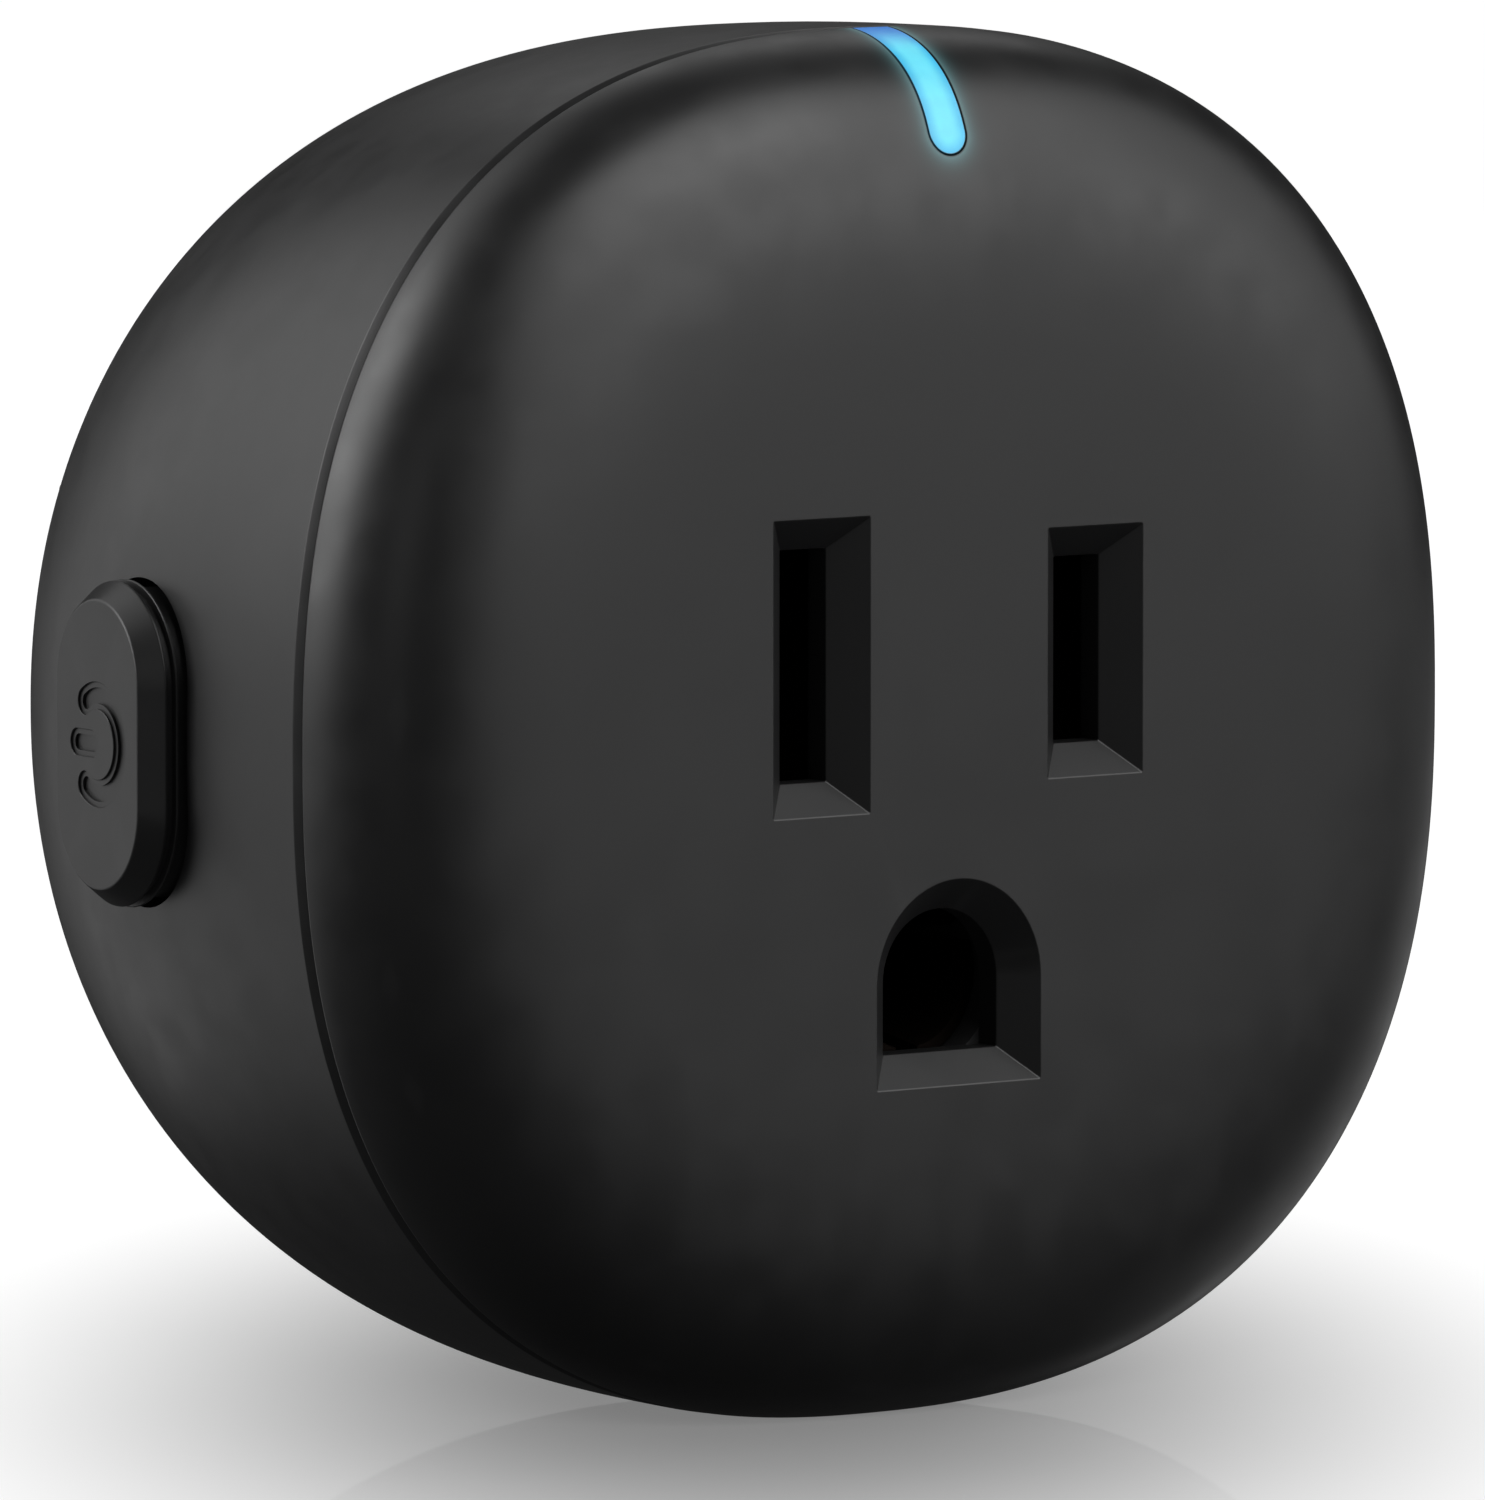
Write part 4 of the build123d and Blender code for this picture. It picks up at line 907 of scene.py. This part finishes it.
def light_bar_plastic():
    """Milky light pipe: a bright cyan middle, bluer flanks and a deep blue top end."""
    surface = Surface("light_bar_plastic", ior=1.49)
    _, _, z = surface.axes()
    half = LENS_WIDTH / 2 * MM
    across = surface.ramp(bar_distance(surface), 0.3 * half, 1.0 * half)
    up = surface.ramp(z, 22.2 * MM, 23.0 * MM)
    cloud = surface.ramp(surface.noise(0.8, 3), 0.2, 0.8, 0.94, 1.06)
    glow = surface.mix(across, (0.125, 0.68, 0.83), (0.03, 0.42, 0.70))
    glow = surface.mix(up, glow, (0.004, 0.11, 0.48))
    surface.set("Emission Color", glow)
    side = half - LENS_SHRINK * MM
    outline_shade = surface.ramp(bar_distance(surface), side - 0.035 * MM, side - 0.005 * MM, 1, 0.03)
    surface.set("Emission Strength", surface.math("MULTIPLY", cloud, outline_shade))
    surface.set("Base Color", surface.mix(surface.noise(1.2, 2), (0.02, 0.07, 0.1), (0.03, 0.09, 0.13)))
    surface.set("Roughness", surface.ramp(surface.noise(0.6, 3), 0.3, 0.7, 0.34, 0.42))
    surface.bump(surface.noise(0.3, 2), 0.002)
    return surface


def board_green():
    """Solder mask over copper tracks: raised, paler tracks and a fine weave underneath."""
    surface = Surface("board_green", coat=0.3)
    x, _, z = surface.axes()
    brick = surface.add("ShaderNodeTexBrick")
    brick.inputs["Scale"].default_value = 1 / (2.4 * MM)
    brick.inputs["Mortar Size"].default_value = 0.09
    brick.inputs["Mortar Smooth"].default_value = 0.3
    flat = surface.add("ShaderNodeCombineXYZ")
    surface.link(x, flat.inputs["X"])
    surface.link(z, flat.inputs["Y"])
    surface.link(flat.outputs["Vector"], brick.inputs["Vector"])
    tracks = brick.outputs["Fac"]
    mask = surface.mix(surface.noise(4, 3), (0.008, 0.09, 0.035), (0.012, 0.13, 0.05))
    surface.set("Base Color", surface.mix(tracks, mask, (0.02, 0.2, 0.08)))
    surface.set("Roughness", surface.ramp(surface.noise(1.5, 3), 0.3, 0.7, 0.28, 0.42))
    surface.bump(tracks, 0.03)
    surface.bump(surface.noise(0.25, 2), 0.004)
    return surface


def wound_copper(name, axis):
    """Enamelled wire: turns side by side along one axis, with painted shade darkening the grooves between
    them.
    """
    surface = Surface(name, metallic=1.0, coat=0.6)
    position = surface.axes()["XYZ".index(axis)]
    turn = surface.math("SINE", surface.math("MULTIPLY", position, 2 * pi / (WIRE_PITCH * MM)))
    height = surface.ramp(turn, -1, 1)
    # Painted shade: the colour darkens from the crest of each turn into the groove between turns.
    surface.set("Base Color", surface.mix(height, (0.20, 0.05, 0.015), (0.72, 0.27, 0.10)))
    surface.set("Roughness", surface.ramp(surface.noise(1, 3), 0.3, 0.7, 0.2, 0.38))
    surface.bump(height, WIRE_PITCH / 3)
    surface.bump(surface.noise(0.3, 2), 0.005)
    return surface


BLACK = (0.005, 0.005, 0.0052)
BLACK_FINISH = dict(roughness=0.4, spread=0.03, grain=0.11, relief=0.0008, vary=0.1, wear=1.3)

SURFACES = {
    "cover_plastic": cover_plastic,
    "housing_plastic": lambda: moulded("housing_plastic", BLACK, **BLACK_FINISH),
    "button_plastic": lambda: moulded("button_plastic", BLACK, **BLACK_FINISH),
    "light_bar_plastic": light_bar_plastic,
    "plated_brass": lambda: brushed("plated_brass", (0.72, 0.7, 0.65), 0.3, 0.04, relief=0.0004, vary=0.08),
    "spring_copper": lambda: brushed("spring_copper", (0.62, 0.36, 0.2), 0.32),
    # Copper darkened to near black for the contacts deep in the sockets: painted shade.
    "painted_shade_copper": lambda: brushed("painted_shade_copper", (0.012, 0.009, 0.0075), 0.55),
    "holder_plastic": lambda: moulded("holder_plastic", (0.003, 0.003, 0.0032), 0.7, vary=0.2),
    "led_package": lambda: moulded("led_package", (0.7, 0.75, 0.8), 0.3, grain=0.1),
    "board_green": board_green,
    "module_blue": lambda: moulded("module_blue", (0.01, 0.04, 0.16), 0.35, grain=0.2),
    "tin_can": lambda: brushed("tin_can", (0.62, 0.62, 0.6), 0.3, along=(1, 1, 10)),
    "header_plastic": lambda: moulded("header_plastic", (0.015, 0.015, 0.016), 0.5),
    "plunger_plastic": lambda: moulded("plunger_plastic", (0.5, 0.05, 0.03), 0.4),
    "capacitor_sleeve": lambda: moulded(
        "capacitor_sleeve", (0.03, 0.03, 0.035), 0.3, mottle=3, relief=0.004
    ),
    "film_yellow": lambda: moulded("film_yellow", (0.62, 0.38, 0.03), 0.35, grain=0.3),
    "varistor_blue": lambda: moulded("varistor_blue", (0.02, 0.12, 0.4), 0.35, grain=0.5, relief=0.01),
    "resistor_green": lambda: moulded("resistor_green", (0.05, 0.2, 0.1), 0.4, grain=0.4, relief=0.008),
    "ferrite": lambda: moulded("ferrite", (0.035, 0.033, 0.032), 0.6, grain=0.2, relief=0.012),
    "winding_y": lambda: wound_copper("winding_y", "Y"),
    "winding_z": lambda: wound_copper("winding_z", "Z"),
    "chip_black": lambda: moulded("chip_black", (0.012, 0.012, 0.013), 0.45, grain=0.12, relief=0.004),
    "relay_blue": lambda: moulded("relay_blue", (0.01, 0.07, 0.28), 0.3, grain=0.2),
    "bobbin_white": lambda: moulded("bobbin_white", (0.7, 0.68, 0.62), 0.4),
    "soft_iron": lambda: brushed("soft_iron", (0.42, 0.42, 0.43), 0.36, along=(1, 8, 1)),
}

FINISH_OF = {
    "status_led": "led_package",
    "switch_body": "header_plastic",
    "switch_plunger": "plunger_plastic",
    "blade_retainer": "holder_plastic",
    "contact_holder": "holder_plastic",
    # the contacts inside the sockets, darkened as painted shade
    "neutral_contact": "painted_shade_copper",
    "line_contact": "painted_shade_copper",
    "ground_contact": "painted_shade_copper",
    "main_board": "board_green",
    "control_board": "board_green",
    "header_block": "header_plastic",
    "header_pins": "tin_can",
    "board_screws": "tin_can",
    "wifi_module": "module_blue",
    "wifi_shield": "tin_can",
    "reservoir_capacitor": "capacitor_sleeve",
    "film_capacitor": "film_yellow",
    "surge_varistor": "varistor_blue",
    "fuse_resistor": "resistor_green",
    "choke_core": "ferrite",
    "choke_winding": "winding_y",
    "bridge_rectifier": "chip_black",
    "regulator_chip": "chip_black",
    "relay_base": "relay_blue",
    "relay_cover": "relay_blue",
    "relay_bobbin": "bobbin_white",
    "relay_coil": "winding_z",
    "relay_core": "soft_iron",
    "relay_yoke": "soft_iron",
    "relay_armature": "soft_iron",
    "relay_fixed_contact": "spring_copper",
    "relay_pins": "tin_can",
}

made_surfaces = {}


def surface_named(name):
    if name not in made_surfaces:
        made_surfaces[name] = SURFACES[name]().material
    return made_surfaces[name]


def dress(piece, surface):
    piece.data.materials.clear()
    piece.data.materials.append(surface_named(surface))


# ---------------------------------------------------------------- studio

PLUG_CENTER = Vector((0, FACE_Y + 15, CENTER_Z))
LIGHT_DISTANCE = 1200
FLOOR_REACH = 3000
FLOOR_GLOW_WITH_PAINTED_SHADOW = (0.19, 0.975)  # the floor's glow in the painted shadow under the plug, and far from it
FLOOR_PAINTED_SHADOW = (5 * MM, 39.5 * MM)  # where the painted shadow under the plug starts and stops fading
FLOOR_PAINTED_SHADOW_STRETCH = 2.25
FLOOR_PAINTED_SHADOW_AZIMUTH = 37.2
FLOOR_PAINTED_SHADOW_SHIFT = 1.5 * MM  # sideways, towards the socket side
WORLD_STRENGTH = 0.02

# The lights: name, azimuth, lower edge, width, height, radiance.
SOFTBOXES = (
    ("front_low", -29.2, 0.6, 47.8, 16.6, 2.11),
    ("front_high", -19.4, 20.1, 48.5, 52.8, 2.52),
    ("front_top", -23.2, 36.7, 28.7, 29.4, 0.94),
    ("right_fill", -53.6, 1.0, 57.8, 48.0, 1.02),
    ("right_back", -143.4, 26.6, 31.5, 21.5, 0.84),
    ("left_key", 122.2, 4.5, 29.8, 46.5, 5.55),
    ("back_key", 163.0, 3.5, 25.6, 61.2, 1.14),
    ("left_fill", 54.1, 0.5, 21.0, 27.1, 0.56),
    ("bounce_back", 157.8, -26.1, 52.7, 28.8, 0.62),
    ("bounce_right", -100.8, -33.9, 47.5, 28.0, 0.46),
)
OVERHEADS = (("floor_camera_low", 37, 6, 36, 18, 3.4),)
BACKDROP = ("backdrop", -142.8, 0.2, 50, 16, 0.2)

# The camera: what it looks at, the way back from there to it, and how far.
LENS_FOCAL_LENGTH = 431.3
CAMERA_TARGET = Vector((-6.5207, FACE_Y + 4.5775, -3.3113))
CAMERA_BACK = Vector((-0.60233, -0.79320, 0.08963)).normalized()
CAMERA_DISTANCE = 658.894


def make_floor():
    bm = bmesh.new()
    far = FLOOR_REACH
    corners = ((-far, -far), (far, -far), (far, far), (-far, far))
    bm.faces.new([bm.verts.new((x, y, FLOOR_Z)) for x, y in corners])
    floor = make_piece("floor", bm, body=None)
    surface = Surface("floor_white", ior=1.06)
    surface.set("Base Color", surface.mix(surface.noise(60, 2), (0.80, 0.80, 0.80), (0.82, 0.82, 0.82)))
    surface.set("Roughness", surface.ramp(surface.noise(40, 2), 0.3, 0.7, 0.03, 0.04))
    # Painted shadow: the floor's glow is lower in a stretched patch under the plug.
    x, y, _ = surface.axes()
    y = surface.math("SUBTRACT", y, PLUG_CENTER.y * MM)
    along, across = surface.along_and_across(x, y, direction(FLOOR_PAINTED_SHADOW_AZIMUTH, 0))
    along = surface.math("MULTIPLY", along, 1 / FLOOR_PAINTED_SHADOW_STRETCH)
    across = surface.math("ADD", across, FLOOR_PAINTED_SHADOW_SHIFT)
    glow = surface.ramp(surface.length(along, across), *FLOOR_PAINTED_SHADOW, *FLOOR_GLOW_WITH_PAINTED_SHADOW)
    surface.shader.inputs["Emission Color"].default_value = (1, 1, 1, 1)
    surface.set("Emission Strength", glow)
    floor.data.materials.append(surface.material)
    floor.visible_glossy = False
    floor.visible_shadow = False
    return floor


def direction(azimuth, elevation):
    """A unit vector from the plug. Azimuth 0 is straight out of the socket and 90 is to its button side."""
    a, e = radians(azimuth), radians(elevation)
    return Vector((-sin(a) * cos(e), -cos(a) * cos(e), sin(e)))


def softbox(name, azimuth, bottom, width, height, radiance, lights, reflected=True):
    """A rectangular light that faces the plug, for the objects of one light group.

    Its width, its height and the elevation of its lower edge are in degrees, as the plug sees it.
    """
    light = bpy.data.lights.new(name, "AREA")
    light.shape = "RECTANGLE"
    light.size = 2 * LIGHT_DISTANCE * MM * tan(radians(width / 2))
    light.size_y = 2 * LIGHT_DISTANCE * MM * tan(radians(height / 2))
    light.energy = radiance * pi * light.size * light.size_y
    holder = bpy.data.objects.new(name, light)
    outward = direction(azimuth, bottom + height / 2)
    holder.location = (PLUG_CENTER + LIGHT_DISTANCE * outward) * MM
    holder.rotation_mode = "QUATERNION"
    holder.rotation_quaternion = (-outward).to_track_quat("-Z", "Y")
    holder.visible_camera = False
    holder.visible_glossy = reflected
    holder.light_linking.receiver_collection = lights
    bpy.context.scene.collection.objects.link(holder)
    return holder


def light_group(name, floor, state):
    """What a light falls on: only the floor, or everything but the floor."""
    group = bpy.data.collections.new(name)
    group.objects.link(floor)
    group.collection_objects[0].light_linking.link_state = state
    return group


def make_studio(floor):
    world = bpy.data.worlds.new("studio")
    bpy.context.scene.world = world
    world.use_nodes = True
    background = world.node_tree.nodes["Background"]
    background.inputs["Color"].default_value = (1, 1, 1, 1)
    background.inputs["Strength"].default_value = WORLD_STRENGTH
    off_floor = light_group("lit_by_softboxes", floor, "EXCLUDE")
    on_floor = light_group("lit_by_overheads", floor, "INCLUDE")
    for row in SOFTBOXES:
        softbox(*row, lights=off_floor)
    for row in OVERHEADS:
        softbox(*row, lights=on_floor, reflected=False)
    softbox(*BACKDROP, lights=on_floor)


def make_camera():
    data = bpy.data.cameras.new("camera")
    data.lens = LENS_FOCAL_LENGTH
    data.sensor_width = 36
    data.clip_start, data.clip_end = 0.01, 20
    camera = bpy.data.objects.new("camera", data)
    camera.location = (CAMERA_TARGET + CAMERA_DISTANCE * CAMERA_BACK) * MM
    camera.rotation_mode = "QUATERNION"
    camera.rotation_quaternion = (-CAMERA_BACK).to_track_quat("-Z", "Y")
    bpy.context.scene.collection.objects.link(camera)
    bpy.context.scene.camera = camera


# ---------------------------------------------------------------- the whole scene

dress(make_cover(), "cover_plastic")
dress(make_light_bar(), "light_bar_plastic")
dress(make_housing(), "housing_plastic")
dress(make_button(), "button_plastic")
dress(make_blade("neutral_blade", -BLADE_X, NEUTRAL_BLADE_WIDTH), "plated_brass")
dress(make_blade("line_blade", BLADE_X, LINE_BLADE_WIDTH), "plated_brass")
dress(make_ground_pin(), "plated_brass")
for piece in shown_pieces():
    if "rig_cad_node" not in piece:
        to_metres(piece)
for node, finish in FINISH_OF.items():
    for slot in frame["nodes"][node].material_slots:
        slot.material = surface_named(finish)

floor = make_floor()
to_metres(floor)
make_studio(floor)
make_camera()
bpy.context.scene.view_settings.view_transform = "Standard"

bpy.context.view_layer.update()
